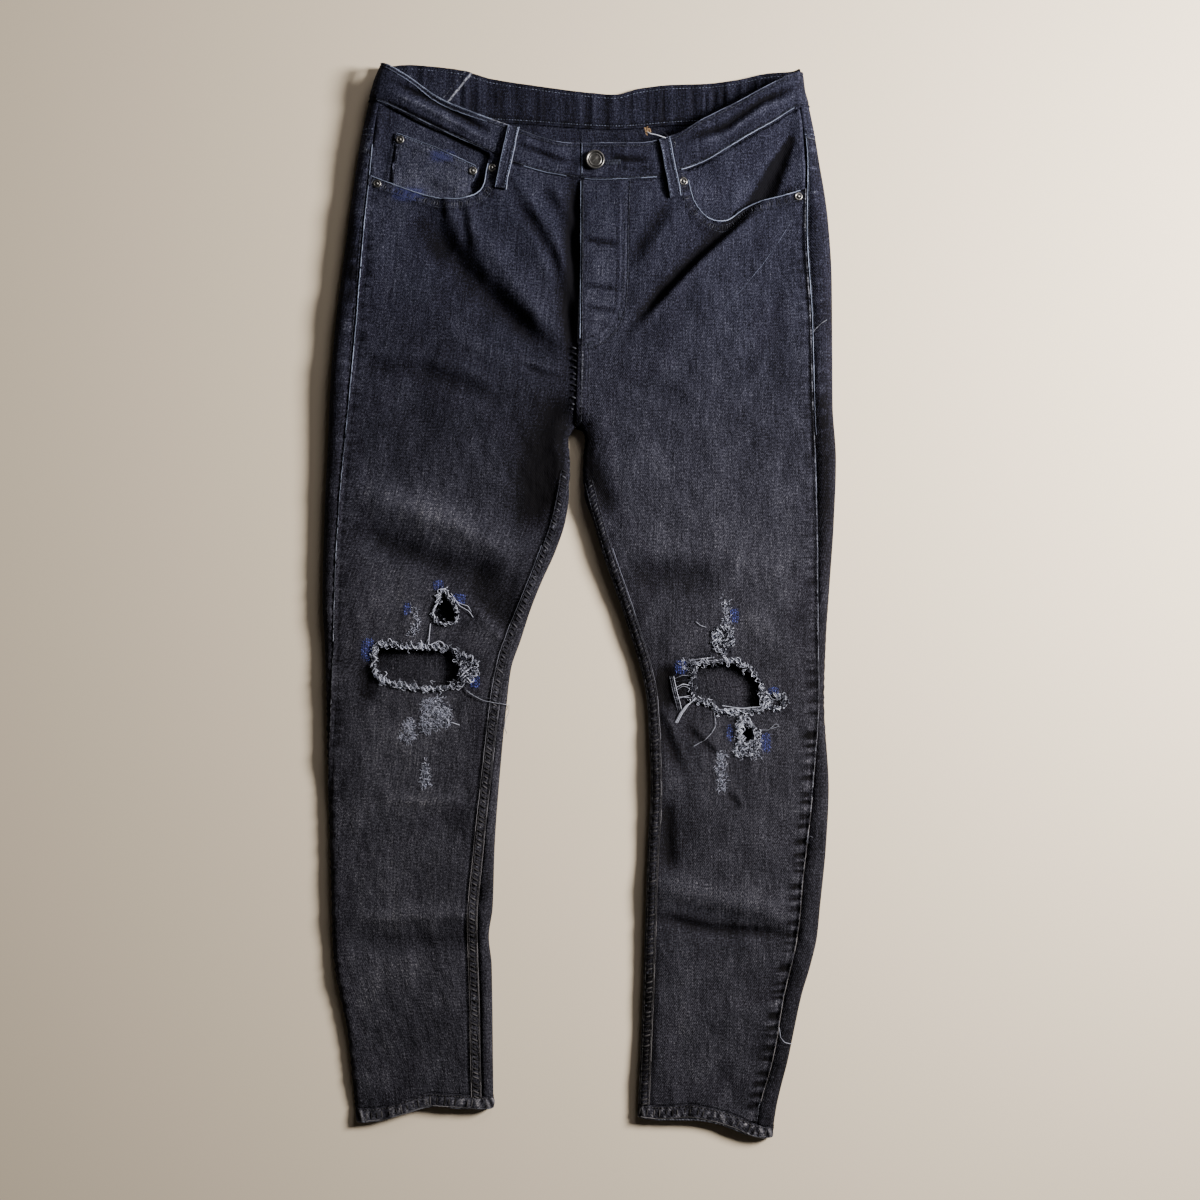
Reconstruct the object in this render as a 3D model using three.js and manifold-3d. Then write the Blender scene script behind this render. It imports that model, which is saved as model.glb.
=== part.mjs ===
// A pair of worn, ripped five-pocket jeans, laid flat on their back with the fly up.
// Millimetres, +Z up. The waist is towards +Y and the wearer's left side is towards +X.
// The origin is on the surface the jeans lie on, below the middle of the garment.
import * as THREE from "three";
import { mergeVertices } from "three/addons/utils/BufferGeometryUtils.js";
import Module from "manifold-3d";

const wasm = await Module();
wasm.setup();

// ---- Driving dimensions -------------------------------------------------------------------------
const DENIM = 1.2; // one layer of cloth
const BAND = 3.0; // the waistband: two layers with their seam allowance
const HEM = 2.6; // a hem: the cloth turned up twice
const LOOP = 2.0; // a belt loop, folded in three
const GAP = 0.4; // between neighbouring pieces
const SEAM_GAP = 0.35; // half the gap where two panels meet edge to edge
const CENTRE_X = 0.5; // centre front and centre back
const CROTCH_Y = 178;
const SEAT_LIFT = 2.4; // the seat lies on the back pockets and belt loops, this far off the surface
const POCKET = 1.9; // a back pocket with its turned edges
const ROW_STEP = 38; // spacing of the sections along the garment
const FRONT_COLUMNS = 9, FRONT_MARKS = [2 / 9, 7 / 9]; // facets across a front panel: inner fold, flat, outer fold
const BACK_COLUMNS = 13, BACK_MARKS = [4 / 13, 9 / 13];
const PRISM_LOW = -50, PRISM_HIGH = 90;
const BUTTON_R = 9.6, BUTTON_H = 3.4;
const RIVET_R = 4.3, RIVET_H = 1.9;

// Height of the upper layer above the surface, [y, z] from hem to waist.
const UPPER_LAYER = [[-560, 10.5], [-400, 12], [-200, 14], [-50, 15], [60, 17], [160, 20], [300, 23], [450, 24], [560, 26]];

// Plan outlines as [y, distance from the centre line], from hem to waist, for each half of the garment.
const RIGHT = {
  side: -1,
  outer: [[-560, 226], [-498, 233], [-437, 240], [-406, 246], [-375, 251], [-345, 254], [-220, 257], [-100, 260], [-40, 262],
    [0, 264], [84, 262], [145, 259], [240, 254], [300, 248], [360, 240], [420, 232], [480, 222], [528, 210], [549, 202], [570, 196]],
  inner: [[-560, 88], [-375, 90], [-345, 93], [-314, 89], [-253, 87], [-160, 80], [-100, 74], [-69, 70], [-39, 60], [-8, 50],
    [22, 38], [53, 24], [84, 14], [112, 10.5], [145, 10.5], [168, 12], [CROTCH_Y, 7]],
  outseam: [[-560, 227], [-406, 248], [-300, 259], [-215, 258], [-160, 256], [-60, 252], [50, 248], [118, 243], [206, 234],
    [300, 225], [375, 219], [434, 213], [480, 208], [520, 200], [570, 190]],
  inseam: [[-560, 99], [-455, 101], [-400, 102], [-330, 104], [-259, 98], [-168, 88], [-92, 79], [-58, 72], [-4, 51],
    [58, 27], [85, 18], [112, 12.5], [136, 9], [150, 6.5], [168, 7], [CROTCH_Y, 4]],
};
const LEFT = {
  side: 1,
  outer: [[-580, 196], [-528, 202], [-467, 216], [-406, 229], [-375, 238], [-345, 245], [-314, 248], [-253, 254], [-192, 257],
    [-100, 252], [-39, 254], [22, 258], [84, 262], [145, 264], [206, 260], [328, 259], [390, 255], [451, 246], [504, 236],
    [524, 230], [541, 228], [570, 224]],
  inner: [[-580, 59], [-498, 62], [-406, 66], [-345, 68], [-253, 71], [-192, 74], [-130, 72], [-100, 70], [-69, 64], [-39, 55],
    [-8, 45], [22, 34], [53, 23], [84, 14], [112, 5], [145, 5], [168, 7], [CROTCH_Y, 3]],
  outseam: [[-580, 178], [-523, 184], [-471, 198], [-405, 210], [-340, 224], [-285, 229], [-195, 239], [-97, 245], [30, 244],
    [147, 241], [206, 238], [299, 235], [377, 230], [444, 231], [487, 227], [530, 220], [570, 214]],
  inseam: [[-580, 59], [-498, 62], [-406, 66], [-345, 68], [-253, 71], [-192, 74], [-130, 72], [-100, 70], [-69, 64],
    [-39, 55], [-8, 45], [22, 34.5], [53, 24], [84, 15], [104, 9], [122, 5], [140, 1.5], [168, 3], [CROTCH_Y, 0]],
};

// Seams that cross the garment, as [x, y].
const FRONT_TOP = [[-226, 562], [-202, 549.5], [-176, 534.5], [-142, 512], [-108, 497], [-75, 485], [-41, 473], [-14, 467],
  [13, 466.5], [61, 466.5], [98, 475], [128, 492], [162, 509], [196, 527], [228, 541], [246, 548]];
const FRONT_SEAM = [[-226, 515], [-213, 510.5], [-190, 502], [-159, 487], [-125, 472], [-95, 458], [-68, 445], [-41, 437],
  [-7, 430.5], [27, 427.5], [50, 428], [81, 430], [103, 437], [128, 447], [162, 467], [196, 486], [223, 502], [250, 510]];
const BACK_TOP = [[-226, 562], [-202, 551.5], [-176, 553], [-148, 551], [-118, 547], [-92, 539.5], [-41, 531.5], [10, 525],
  [37, 523], [61, 529], [94, 533], [128, 534], [162, 538], [196, 545], [228, 547], [246, 552]];
const BACK_SEAM = [[-226, 515], [-213, 511], [-190, 506], [-150, 498], [-54, 492.5], [10, 488], [37, 487], [94, 491],
  [150, 494.5], [200, 501], [223, 503.5], [250, 510]];
const YOKE = [[-260, 476], [-208, 474], [CENTRE_X, 418], [208, 470], [260, 472]];
const HEM_RIGHT = {
  top: [[-250, -520], [-224, -521], [-198, -518], [-174, -510], [-149, -504], [-131, -505], [-93, -508.5], [-70, -510]],
  bottom: [[-250, -536], [-224, -535], [-205, -533], [-180, -525.5], [-161, -520], [-143, -517.5], [-124, -520], [-93, -520.5],
    [-70, -519]],
};
const HEM_LEFT = {
  top: [[40, -515], [64, -516], [82, -517.5], [112, -515.5], [135, -519.5], [159, -526.5], [180, -536], [198, -539.5], [215, -541]],
  bottom: [[40, -527], [63, -530], [83, -532], [117, -532], [135, -534.5], [153, -539.5], [171, -546.5], [182, -549], [196, -550.5],
    [215, -551]],
};

// Outlines of pockets and tears, as [x, y].
const SCOOP_RIGHT = [[-230, 436], [-211, 433.5], [-198, 428], [-181, 422], [-164, 416], [-147, 411.5], [-130, 409], [-115, 411],
  [-105, 414], [-98, 419], [-95, 427], [-96, 435], [-92, 448], [-88, 480], [-140, 520], [-240, 540]];
const SCOOP_LEFT = [[240, 422], [225, 418.5], [211, 414.5], [195, 410.5], [176, 405.5], [162, 399], [155, 390], [146, 386], [134, 388],
  [125, 395], [117, 406.5], [113, 420], [110, 436], [110, 470], [170, 520], [260, 540]];
const COIN_POCKET = [[-185, 476.5], [-147, 463], [-122, 451.5], [-102.5, 442], [-111, 424], [-104, 404], [-150, 400], [-194, 408]];
const TEAR_RIGHT_KNEE = [[-206, -46], [-190, -46], [-172, -48], [-149, -48], [-136, -49], [-128, -53], [-123, -64],
  [-120, -76], [-122, -84], [-140, -86], [-158, -87], [-178, -84], [-194, -81], [-206, -76], [-208, -64]];
const TEAR_RIGHT_SMALL = [[-139, 11], [-131, 0], [-126, -11], [-128, -20], [-142, -21], [-147, -13], [-143, 0]];
const TEAR_LEFT_KNEE = [[121, -65], [136, -63], [160, -62], [172, -69], [180, -77], [186, -88], [184, -96],
  [188, -108], [160, -111], [144, -110], [139, -103], [125, -99], [118, -98], [117, -80]];
const TEAR_LEFT_SMALL = [[167, -124], [176, -127], [178, -141], [168, -144], [163, -134]];
const FLY_SHIELD = [[-5, 426], [-6, 262], [6, 246], [30, 246], [38, 270], [38, 426]];
const BACK_POCKET = [[40, 398], [176, 416], [178, 290], [112, 258], [46, 276]]; // the wearer's left; the right one mirrors it
const RIVETS = {
  rivet_coin_outer: [-182, 470, "coin"], rivet_coin_inner: [-108, 438.5, "coin"],
  rivet_right_side: [-205.5, 425.5, "front"], rivet_right_front: [-88.5, 441, "front"],
  rivet_left_front: [106, 427, "front"], rivet_left_side: [223, 412, "front"],
};
const BUTTON = [16.5, 448];
const LOOPS = {
  loop_front_right: [[-72, 483], [-59.5, 480], [-74.5, 418.5], [-85, 423]],
  loop_front_left: [[81, 468], [92.5, 470], [104, 414], [92, 411]],
};
const BACK_LOOPS = {
  loop_back_right: [[-151, 538], [-139, 537], [-141, 478], [-153, 479]],
  loop_back_centre: [[-6, 519], [6, 518], [6, 468], [-6, 468]],
  loop_back_left: [[139, 527], [151, 528], [153, 472], [141, 471]],
};

// The largest folds: a soft trough (depth < 0) or ridge along a line, as in pressed-flat cloth.
const FOLDS = [
  { line: [[188, 452], [150, 385], [100, 330], [52, 282]], width: 11, depth: -6 }, // from the left pocket to the fly
  { line: [[-4, 470], [-5, 400], [-6, 300], [-4, 262]], width: 12, depth: -5 }, // where the fly's edge stands over the right front
  { line: [[-70, 385], [-45, 340], [-20, 300]], width: 10, depth: -4 },
  { line: [[-170, 75], [-110, 80], [-55, 60]], width: 22, depth: 4 }, // above the right knee
  { line: [[-190, 40], [-120, 38]], width: 16, depth: -3 },
  { line: [[-240, -345], [-100, -350]], width: 16, depth: -3 },
  { line: [[75, -330], [230, -345]], width: 14, depth: -3 },
  { line: [[90, -205], [92, -265]], width: 9, depth: -3.5 },
];

// ---- Small tools --------------------------------------------------------------------------------
const smooth = (t) => { const c = Math.min(1, Math.max(0, t)); return c * c * (3 - 2 * c); };

// A smooth curve through [[x, y], ...] with x rising, which doesn't overshoot its points.
function curve(points) {
  const n = points.length;
  const slope = (i) => (points[i + 1][1] - points[i][1]) / (points[i + 1][0] - points[i][0]);
  const tangent = points.map((_, i) => {
    if (i === 0) return slope(0);
    if (i === n - 1) return slope(n - 2);
    const a = slope(i - 1), b = slope(i);
    return a * b <= 0 ? 0 : (2 * a * b) / (a + b);
  });
  return (x) => {
    let i = 0;
    while (i < n - 2 && x > points[i + 1][0]) i++;
    const w = points[i + 1][0] - points[i][0];
    const t = (x - points[i][0]) / w;
    if (t < 0) return points[0][1] + tangent[0] * (x - points[0][0]);
    if (t > 1) return points[n - 1][1] + tangent[n - 1] * (x - points[n - 1][0]);
    const t2 = t * t, t3 = t2 * t;
    return (2 * t3 - 3 * t2 + 1) * points[i][1] + (t3 - 2 * t2 + t) * w * tangent[i]
      + (3 * t2 - 2 * t3) * points[i + 1][1] + (t3 - t2) * w * tangent[i + 1];
  };
}

// Distance from (x, y) to a polyline, and how far along it the nearest point is, as a share.
function toLine(line, x, y) {
  let best = { distance: Infinity, share: 0 };
  const lengths = line.slice(1).map((p, i) => Math.hypot(p[0] - line[i][0], p[1] - line[i][1]));
  const total = lengths.reduce((a, b) => a + b, 0);
  let before = 0;
  lengths.forEach((length, i) => {
    const [ax, ay] = line[i], [bx, by] = line[i + 1];
    const t = Math.min(1, Math.max(0, ((x - ax) * (bx - ax) + (y - ay) * (by - ay)) / (length * length)));
    const distance = Math.hypot(x - ax - t * (bx - ax), y - ay - t * (by - ay));
    if (distance < best.distance) best = { distance, share: (before + t * length) / total };
    before += length;
  });
  return best;
}

function foldAt(x, y) {
  return FOLDS.reduce((sum, { line, width, depth }) => {
    const { distance, share } = toLine(line, x, y);
    const taper = Math.sin(Math.PI * Math.min(1, Math.max(0.12, share * 0.88 + 0.06)));
    return sum + depth * taper * Math.exp(-((distance / width) ** 2));
  }, 0);
}

// A THREE geometry or plain arrays as a manifold-3d solid facing outwards.
function solidFrom(positions, triangles) {
  const build = (tris) => new wasm.Manifold(new wasm.Mesh({
    numProp: 3, vertProperties: Float32Array.from(positions), triVerts: Uint32Array.from(tris),
  }));
  const made = build(triangles);
  if (made.volume() > 0) return made;
  const turned = triangles.map((_, i) => triangles[i - (i % 3) + [0, 2, 1][i % 3]]);
  return build(turned);
}

function solidOfGeometry(geometry) {
  const bare = geometry.clone();
  bare.deleteAttribute("normal");
  bare.deleteAttribute("uv");
  const merged = mergeVertices(bare, 1e-4);
  return solidFrom([...merged.attributes.position.array], [...merged.index.array]);
}

function meshOf(name, solid, material) {
  const { vertProperties, triVerts } = solid.getMesh();
  const geometry = new THREE.BufferGeometry();
  geometry.setAttribute("position", new THREE.BufferAttribute(vertProperties, 3));
  geometry.setIndex(new THREE.BufferAttribute(triVerts, 1));
  geometry.computeVertexNormals();
  const mesh = new THREE.Mesh(geometry, material);
  mesh.name = name;
  return mesh;
}

// A vertical prism over a plan outline.
function prism(outline, low = PRISM_LOW, high = PRISM_HIGH) {
  const shape = new THREE.Shape(outline.map(([x, y]) => new THREE.Vector2(x, y)));
  const geometry = new THREE.ExtrudeGeometry(shape, { depth: high - low, bevelEnabled: false });
  geometry.translate(0, 0, low);
  return solidOfGeometry(geometry);
}

// Points of a seam every step millimetres, moved by lift along y.
function sampled(points, from, to, lift, step = 14) {
  const at = curve(points);
  const n = Math.ceil((to - from) / step);
  return Array.from({ length: n + 1 }, (_, i) => from + ((to - from) * i) / n).map((x) => [x, at(x) + lift]);
}

// The plan region between two seams, lower and upper, from x = from to x = to.
function between(lower, upper, from, to, trimLow = 0, trimHigh = 0) {
  return [...sampled(lower, from, to, trimLow), ...sampled(upper, from, to, -trimHigh).reverse()];
}

// A closed wall from a grid of outer points: at(i, j) gives a point, and sign tells on which side of the grid its
// outer face is. The wall is thick towards the inside, and lift moves it out.
function wall(rows, columns, at, sign, thick, lift = 0) {
  const outer = [], inner = [];
  for (let i = 0; i <= rows; i++) {
    for (let j = 0; j <= columns; j++) {
      const along = at(Math.min(i + 0.02, rows), j).sub(at(Math.max(i - 0.02, 0), j));
      const across = at(i, Math.min(j + 0.02, columns)).sub(at(i, Math.max(j - 0.02, 0)));
      const outward = along.cross(across).normalize().multiplyScalar(sign);
      const point = at(i, j);
      outer.push(point.clone().addScaledVector(outward, lift));
      inner.push(point.clone().addScaledVector(outward, lift - thick));
    }
  }
  const width = columns + 1, count = outer.length;
  const positions = [...outer, ...inner].flatMap((p) => [p.x, p.y, p.z]);
  const triangles = [];
  const quad = (a, b, c, d) => triangles.push(a, b, c, a, c, d);
  for (let i = 0; i < rows; i++) {
    for (let j = 0; j < columns; j++) {
      const a = i * width + j;
      quad(a, a + width, a + width + 1, a + 1);
      quad(count + a, count + a + 1, count + a + width + 1, count + a + width);
    }
  }
  for (let i = 0; i < rows; i++) {
    const a = i * width, b = i * width + columns;
    quad(a, count + a, count + a + width, a + width);
    quad(b, b + width, count + b + width, count + b);
  }
  for (let j = 0; j < columns; j++) {
    const a = j, b = rows * width + j;
    quad(a, a + 1, count + a + 1, count + a);
    quad(b, count + b, count + b + 1, b + 1);
  }
  return solidFrom(positions, triangles);
}

// ---- The garment's form -------------------------------------------------------------------------
const upperLayer = curve(UPPER_LAYER);

// Outer height of the upper layer at a plan point.
function topZ(x, y) {
  const full = upperLayer(y) + foldAt(x, y);
  const crotch = Math.hypot(x - CENTRE_X, Math.max(0, y - CROTCH_Y + 2));
  return y > CROTCH_Y - 20 ? full * (0.42 + 0.58 * smooth(crotch / 22)) : full;
}

// Outer height of the lower layer, which rises to meet the upper one at the crotch.
function bottomZ(x, y) {
  const foot = SEAT_LIFT * smooth((y - 150) / 60);
  if (y < CROTCH_Y) return foot;
  const crotch = Math.hypot(x - CENTRE_X, y - CROTCH_Y);
  return mix(topZ(CENTRE_X, CROTCH_Y) - 2 * DENIM - 0.8, foot, smooth(crotch / 34));
}

const mix = (a, b, t) => a + (b - a) * t;

// One half of the garment as a flattened tube. A section of it is run through by u: 0 to 1 across the top from the
// inner to the outer fold, 1 to 2 round the outer fold, 2 to 3 back along the bottom, 3 to 4 round the inner fold.
function half({ side, outer, inner, outseam, inseam }) {
  const outerAt = curve(outer), innerAt = curve(inner), outseamAt = curve(outseam), inseamAt = curve(inseam);
  const isLeg = (y) => y < CROTCH_Y;
  const radius = (y) => upperLayer(y) * 0.5 + 2;
  const outerFlat = (y) => outerAt(y) - radius(y);
  const innerFlat = (y) => (isLeg(y) ? innerAt(y) + radius(y) : CENTRE_X + SEAM_GAP);
  const fold = (edge, inward, y, angle) => {
    const flat = edge - inward * radius(y), p = flat + inward * radius(y) * Math.sin(angle);
    const top = topZ(side * flat, y), foot = bottomZ(side * flat, y), middle = mix(foot, top, 0.46);
    const z = middle + Math.cos(angle) * (angle < Math.PI / 2 ? top - middle : middle - foot);
    return new THREE.Vector3(side * p, y, z);
  };
  const ring = (y, u) => {
    const v = u > 3 ? u - 4 : u;
    if (v < 0) return fold(innerAt(y), -1, y, -v * Math.PI);
    if (v > 1 && v < 2) return fold(outerAt(y), 1, y, (v - 1) * Math.PI);
    const p = mix(innerFlat(y), outerFlat(y), v <= 1 ? v : 3 - v);
    return new THREE.Vector3(side * p, y, v <= 1 ? topZ(side * p, y) : bottomZ(side * p, y));
  };
  // The u of a seam on the upper layer, from its distance to the centre line.
  const angleOf = (along, r) => (along < r ? Math.asin(along / r) : Math.PI / 2 + (along - r) / r) / Math.PI;
  const uOf = (y, p) => {
    if (p > outerFlat(y)) return 1 + angleOf(p - outerFlat(y), radius(y));
    if (p < innerFlat(y)) return isLeg(y) ? -angleOf(innerFlat(y) - p, radius(y)) : 0;
    return (p - innerFlat(y)) / (outerFlat(y) - innerFlat(y));
  };
  // t from 0 to 1 through the marks, which are [t, u].
  const through = (marks, t) => {
    const i = Math.max(1, marks.findIndex((m) => m[0] >= t));
    return mix(marks[i - 1][1], marks[i][1], (t - marks[i - 1][0]) / (marks[i][0] - marks[i - 1][0]));
  };
  const front = (y, t, grow = 0) => {
    const from = uOf(y, (isLeg(y) ? inseamAt(y) : CENTRE_X) + SEAM_GAP - grow);
    const to = uOf(y, outseamAt(y) - SEAM_GAP + grow);
    const first = from < 0 ? 0 : mix(from, 1, 0.12), last = to > 1 ? 1 : mix(to, 0, 0.1);
    return ring(y, through([[0, from], [FRONT_MARKS[0], first], [FRONT_MARKS[1], last], [1, to]], t));
  };
  const back = (y, t) => {
    const from = uOf(y, outseamAt(y) + SEAM_GAP);
    const to = isLeg(y) ? 4 + uOf(y, inseamAt(y) - SEAM_GAP) : 3;
    const foot = isLeg(y) ? 3 : 2.7;
    return ring(y, through([[0, from], [BACK_MARKS[0], 2], [BACK_MARKS[1], foot], [1, to]], t));
  };
  return { side, outerAt, innerAt, outerFlat, radius, fold, ring, front, back };
}

// Section heights from hem to waist, closer together at the crotch.
function rowsBetween(low, high, step = ROW_STEP) {
  const rows = [];
  const marks = [low, CROTCH_Y - 6, CROTCH_Y - 0.5, CROTCH_Y + 0.5, CROTCH_Y + 8, CROTCH_Y + 20, high].filter((y) => y >= low && y <= high);
  marks.forEach((y, i) => {
    if (i === 0) { rows.push(y); return; }
    const n = Math.max(1, Math.round((y - marks[i - 1]) / step));
    for (let k = 1; k <= n; k++) rows.push(marks[i - 1] + ((y - marks[i - 1]) * k) / n);
  });
  return rows;
}

function sheet(rows, columns, at, sign, thick, lift = 0) {
  const yAt = (i) => {
    const low = Math.min(rows.length - 2, Math.floor(i));
    return rows[low] + (rows[low + 1] - rows[low]) * (i - low);
  };
  return wall(rows.length - 1, columns, (i, j) => at(yAt(i), j / columns), sign, thick, lift);
}

// ---- Materials ----------------------------------------------------------------------------------
const material = (colour, roughness, metalness = 0) => new THREE.MeshStandardMaterial({ color: colour, roughness, metalness });
const DENIM_CLOTH = material(0x2e2f37, 0.9);
const INSIDE_CLOTH = material(0x26272f, 0.92);
const METAL = material(0x8c8a84, 0.42, 0.9);

// ---- Pieces -------------------------------------------------------------------------------------
const right = half(RIGHT), left = half(LEFT);
const garment = new THREE.Group();
const add = (name, solid, cloth = DENIM_CLOTH) => garment.add(meshOf(name, solid, cloth));
const WIDE = 280; // every seam is run through over the same width, so that its two sides match
const belowSeam = (seam) => prism([[-WIDE, -700], [WIDE, -700], ...sampled(seam, -WIDE, WIDE, -GAP).reverse()]);

// The plan region above a hem's top edge.
const aboveHem = (hem, from, to) => prism([...sampled(hem.top, from, to, GAP), [to, 700], [from, 700]]);

const LENGTH = [-575, 545]; // the panels are made this long and cut at their seams

function frontPanel(leg, hem, span, scoop, tears) {
  let panel = sheet(rowsBetween(...LENGTH), FRONT_COLUMNS, leg.front, -leg.side, DENIM);
  panel = panel.intersect(belowSeam(FRONT_SEAM)).intersect(aboveHem(hem, ...span));
  [scoop, ...tears].forEach((outline) => { panel = panel.subtract(prism(outline)); });
  return panel;
}

// The room which the front panel takes up, with the gap that a seam leaves round it.
function frontRoom(leg) {
  const grown = (y, t) => leg.front(y, t, SEAM_GAP);
  return sheet(rowsBetween(...LENGTH), FRONT_COLUMNS, grown, -leg.side, DENIM + 2 * GAP, GAP);
}

function backSheet(leg, hem, span) {
  const rows = rowsBetween(...LENGTH);
  const high = prism([[-WIDE, -700], [WIDE, -700], ...sampled(FRONT_SEAM, -WIDE, WIDE, -3 * GAP).reverse()], 8);
  const low = prism([[-WIDE, -700], [WIDE, -700], ...sampled(BACK_SEAM, -WIDE, WIDE, -GAP).reverse()], PRISM_LOW, 8.001);
  const cloth = sheet(rows, BACK_COLUMNS, leg.back, -leg.side, DENIM).subtract(frontRoom(leg));
  return cloth.intersect(high.add(low)).intersect(aboveHem(hem, ...span));
}

function largest(solid) {
  return solid.decompose().sort((a, b) => b.volume() - a.volume())[0];
}

function addHalf(word, leg, hem, span, scoop, tears) {
  add(`front_${word}`, largest(frontPanel(leg, hem, span, scoop, tears)));
  const cloth = backSheet(leg, hem, span);
  const belowYoke = prism([[-WIDE, -700], [WIDE, -700], ...YOKE.map(([x, y]) => [x, y - GAP]).reverse()]);
  const aboveYoke = prism([...YOKE.map(([x, y]) => [x, y + GAP]), [WIDE, 700], [-WIDE, 700]]);
  add(`back_${word}`, largest(cloth.intersect(belowYoke)));
  add(`yoke_${word}`, largest(cloth.intersect(aboveYoke)));
}
const SPAN_RIGHT = [-290, -60], SPAN_LEFT = [35, 290];
addHalf("right", right, HEM_RIGHT, [-290, 0.2], SCOOP_RIGHT, [TEAR_RIGHT_KNEE, TEAR_RIGHT_SMALL]);
addHalf("left", left, HEM_LEFT, [0.8, 290], SCOOP_LEFT, [TEAR_LEFT_KNEE, TEAR_LEFT_SMALL]);

// A hem is a ring of the leg's own section, between its two edges.
function hemRing(leg, hem, [from, to]) {
  const rows = rowsBetween(-585, -480, 15);
  const COLUMNS = 28, PROUD = 0.7;
  const outward = (y, u) => {
    const t = leg.ring(y, (u + 0.02) % 4).sub(leg.ring(y, (u + 3.98) % 4)).normalize();
    return new THREE.Vector3(-t.z, 0, t.x).multiplyScalar(leg.side);
  };
  const outline = (offset, floor) => rows.flatMap((y) => Array.from({ length: COLUMNS }, (_, j) => {
    const u = (4 * j) / COLUMNS, point = leg.ring(y, u).addScaledVector(outward(y, u), offset);
    point.z = Math.max(point.z, floor);
    return point;
  }));
  const positions = [...outline(PROUD, 0), ...outline(PROUD - HEM, HEM)].flatMap((p) => [p.x, p.y, p.z]);
  const count = rows.length * COLUMNS, triangles = [];
  const quad = (a, b, c, d) => triangles.push(a, b, c, a, c, d);
  for (let i = 0; i < rows.length - 1; i++) {
    for (let j = 0; j < COLUMNS; j++) {
      const a = i * COLUMNS + j, b = i * COLUMNS + ((j + 1) % COLUMNS);
      quad(a, a + COLUMNS, b + COLUMNS, b);
      quad(count + a, count + b, count + b + COLUMNS, count + a + COLUMNS);
    }
  }
  const last = count - COLUMNS;
  for (let j = 0; j < COLUMNS; j++) {
    const k = (j + 1) % COLUMNS;
    quad(j, k, count + k, count + j);
    quad(last + j, count + last + j, count + last + k, last + k);
  }
  return solidFrom(positions, triangles).intersect(prism(between(hem.bottom, hem.top, from, to)));
}
add("hem_right", hemRing(right, HEM_RIGHT, SPAN_RIGHT));
add("hem_left", hemRing(left, HEM_LEFT, SPAN_LEFT));

// Waistband: two front pieces from centre front to the side folds, and one back piece between the folds.
const BAND_PROUD = 0.9;
const FOLD_FRONT = 1.46, FOLD_BACK = 1.57; // the u at which the front and the back of the band end at the side fold
function frontBand(leg) {
  const FLAT = 0.75; // the share of the columns that are on the flat
  const at = (y, t) => leg.ring(y, t < FLAT ? t / FLAT : mix(1, FOLD_FRONT, (t - FLAT) / (1 - FLAT)));
  const cloth = sheet(rowsBetween(400, 562, 18), 12, at, -leg.side, BAND, BAND_PROUD);
  return cloth.intersect(prism(between(FRONT_SEAM, FRONT_TOP, -WIDE, WIDE)));
}
add("waistband_front_right", largest(frontBand(right)));
add("waistband_front_left", largest(frontBand(left)));

function backBand() {
  const EDGE = 0.16; // the share of the columns that climb each side fold
  const at = (y, t) => {
    if (t < EDGE) return right.ring(y, mix(FOLD_BACK, 2, t / EDGE));
    if (t > 1 - EDGE) return left.ring(y, mix(2, FOLD_BACK, (t - 1 + EDGE) / EDGE));
    const x = mix(-right.outerFlat(y), left.outerFlat(y), (t - EDGE) / (1 - 2 * EDGE));
    return new THREE.Vector3(x, y, SEAT_LIFT);
  };
  return sheet(rowsBetween(465, 562, 16), 24, at, 1, BAND).intersect(prism(between(BACK_SEAM, BACK_TOP, -WIDE, WIDE)));
}
add("waistband_back", largest(backBand()));

// A piece that lies on or under the upper layer follows its height.
function layer(outline, lift, thick, step = 18) {
  const xs = outline.map((p) => p[0]), ys = outline.map((p) => p[1]);
  const x0 = Math.min(...xs) - 2, x1 = Math.max(...xs) + 2, y0 = Math.min(...ys) - 2, y1 = Math.max(...ys) + 2;
  const rows = Math.ceil((y1 - y0) / step), columns = Math.ceil((x1 - x0) / step);
  const at = (i, j) => {
    const x = mix(x0, x1, j / columns), y = mix(y0, y1, i / rows);
    return new THREE.Vector3(x, y, topZ(x, y) + lift);
  };
  return wall(rows, columns, at, -1, thick).intersect(prism(outline));
}
const UNDER_FRONT = -(DENIM + 0.8); // what lies against the front panel's inner side
const UNDER_COIN = 2 * UNDER_FRONT;
const FACING_RIGHT = [[-211, 433], [-196, 400], [-120, 392], [-84, 412], [-84, 450], [-95, 457], [-125, 471], [-159, 486],
  [-190, 500], [-203, 506], [-206, 480], [-208.5, 460]];
const FACING_LEFT = [[104, 432], [110, 384], [146, 370], [196, 392], [229, 404], [229, 444], [225, 487], [222, 501],
  [196, 485], [162, 466], [128, 446], [104, 436]];
add("pocket_facing_right", layer(FACING_RIGHT, UNDER_COIN, DENIM), INSIDE_CLOTH);
add("pocket_facing_left", layer(FACING_LEFT, UNDER_FRONT, DENIM), INSIDE_CLOTH);
add("coin_pocket", layer(COIN_POCKET, UNDER_FRONT, DENIM));
add("fly_shield", layer(FLY_SHIELD, UNDER_FRONT - 0.7, DENIM), INSIDE_CLOTH);

for (const [name, outline] of Object.entries(LOOPS)) add(name, layer(outline, BAND_PROUD + 0.7 + LOOP, LOOP, 12));
for (const [name, outline] of Object.entries(BACK_LOOPS)) add(name, prism(outline, 0, LOOP));
add("back_pocket_left", prism(BACK_POCKET, 0, POCKET));
add("back_pocket_right", prism(BACK_POCKET.map(([x, y]) => [-x, y]).reverse(), 0, POCKET));

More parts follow.
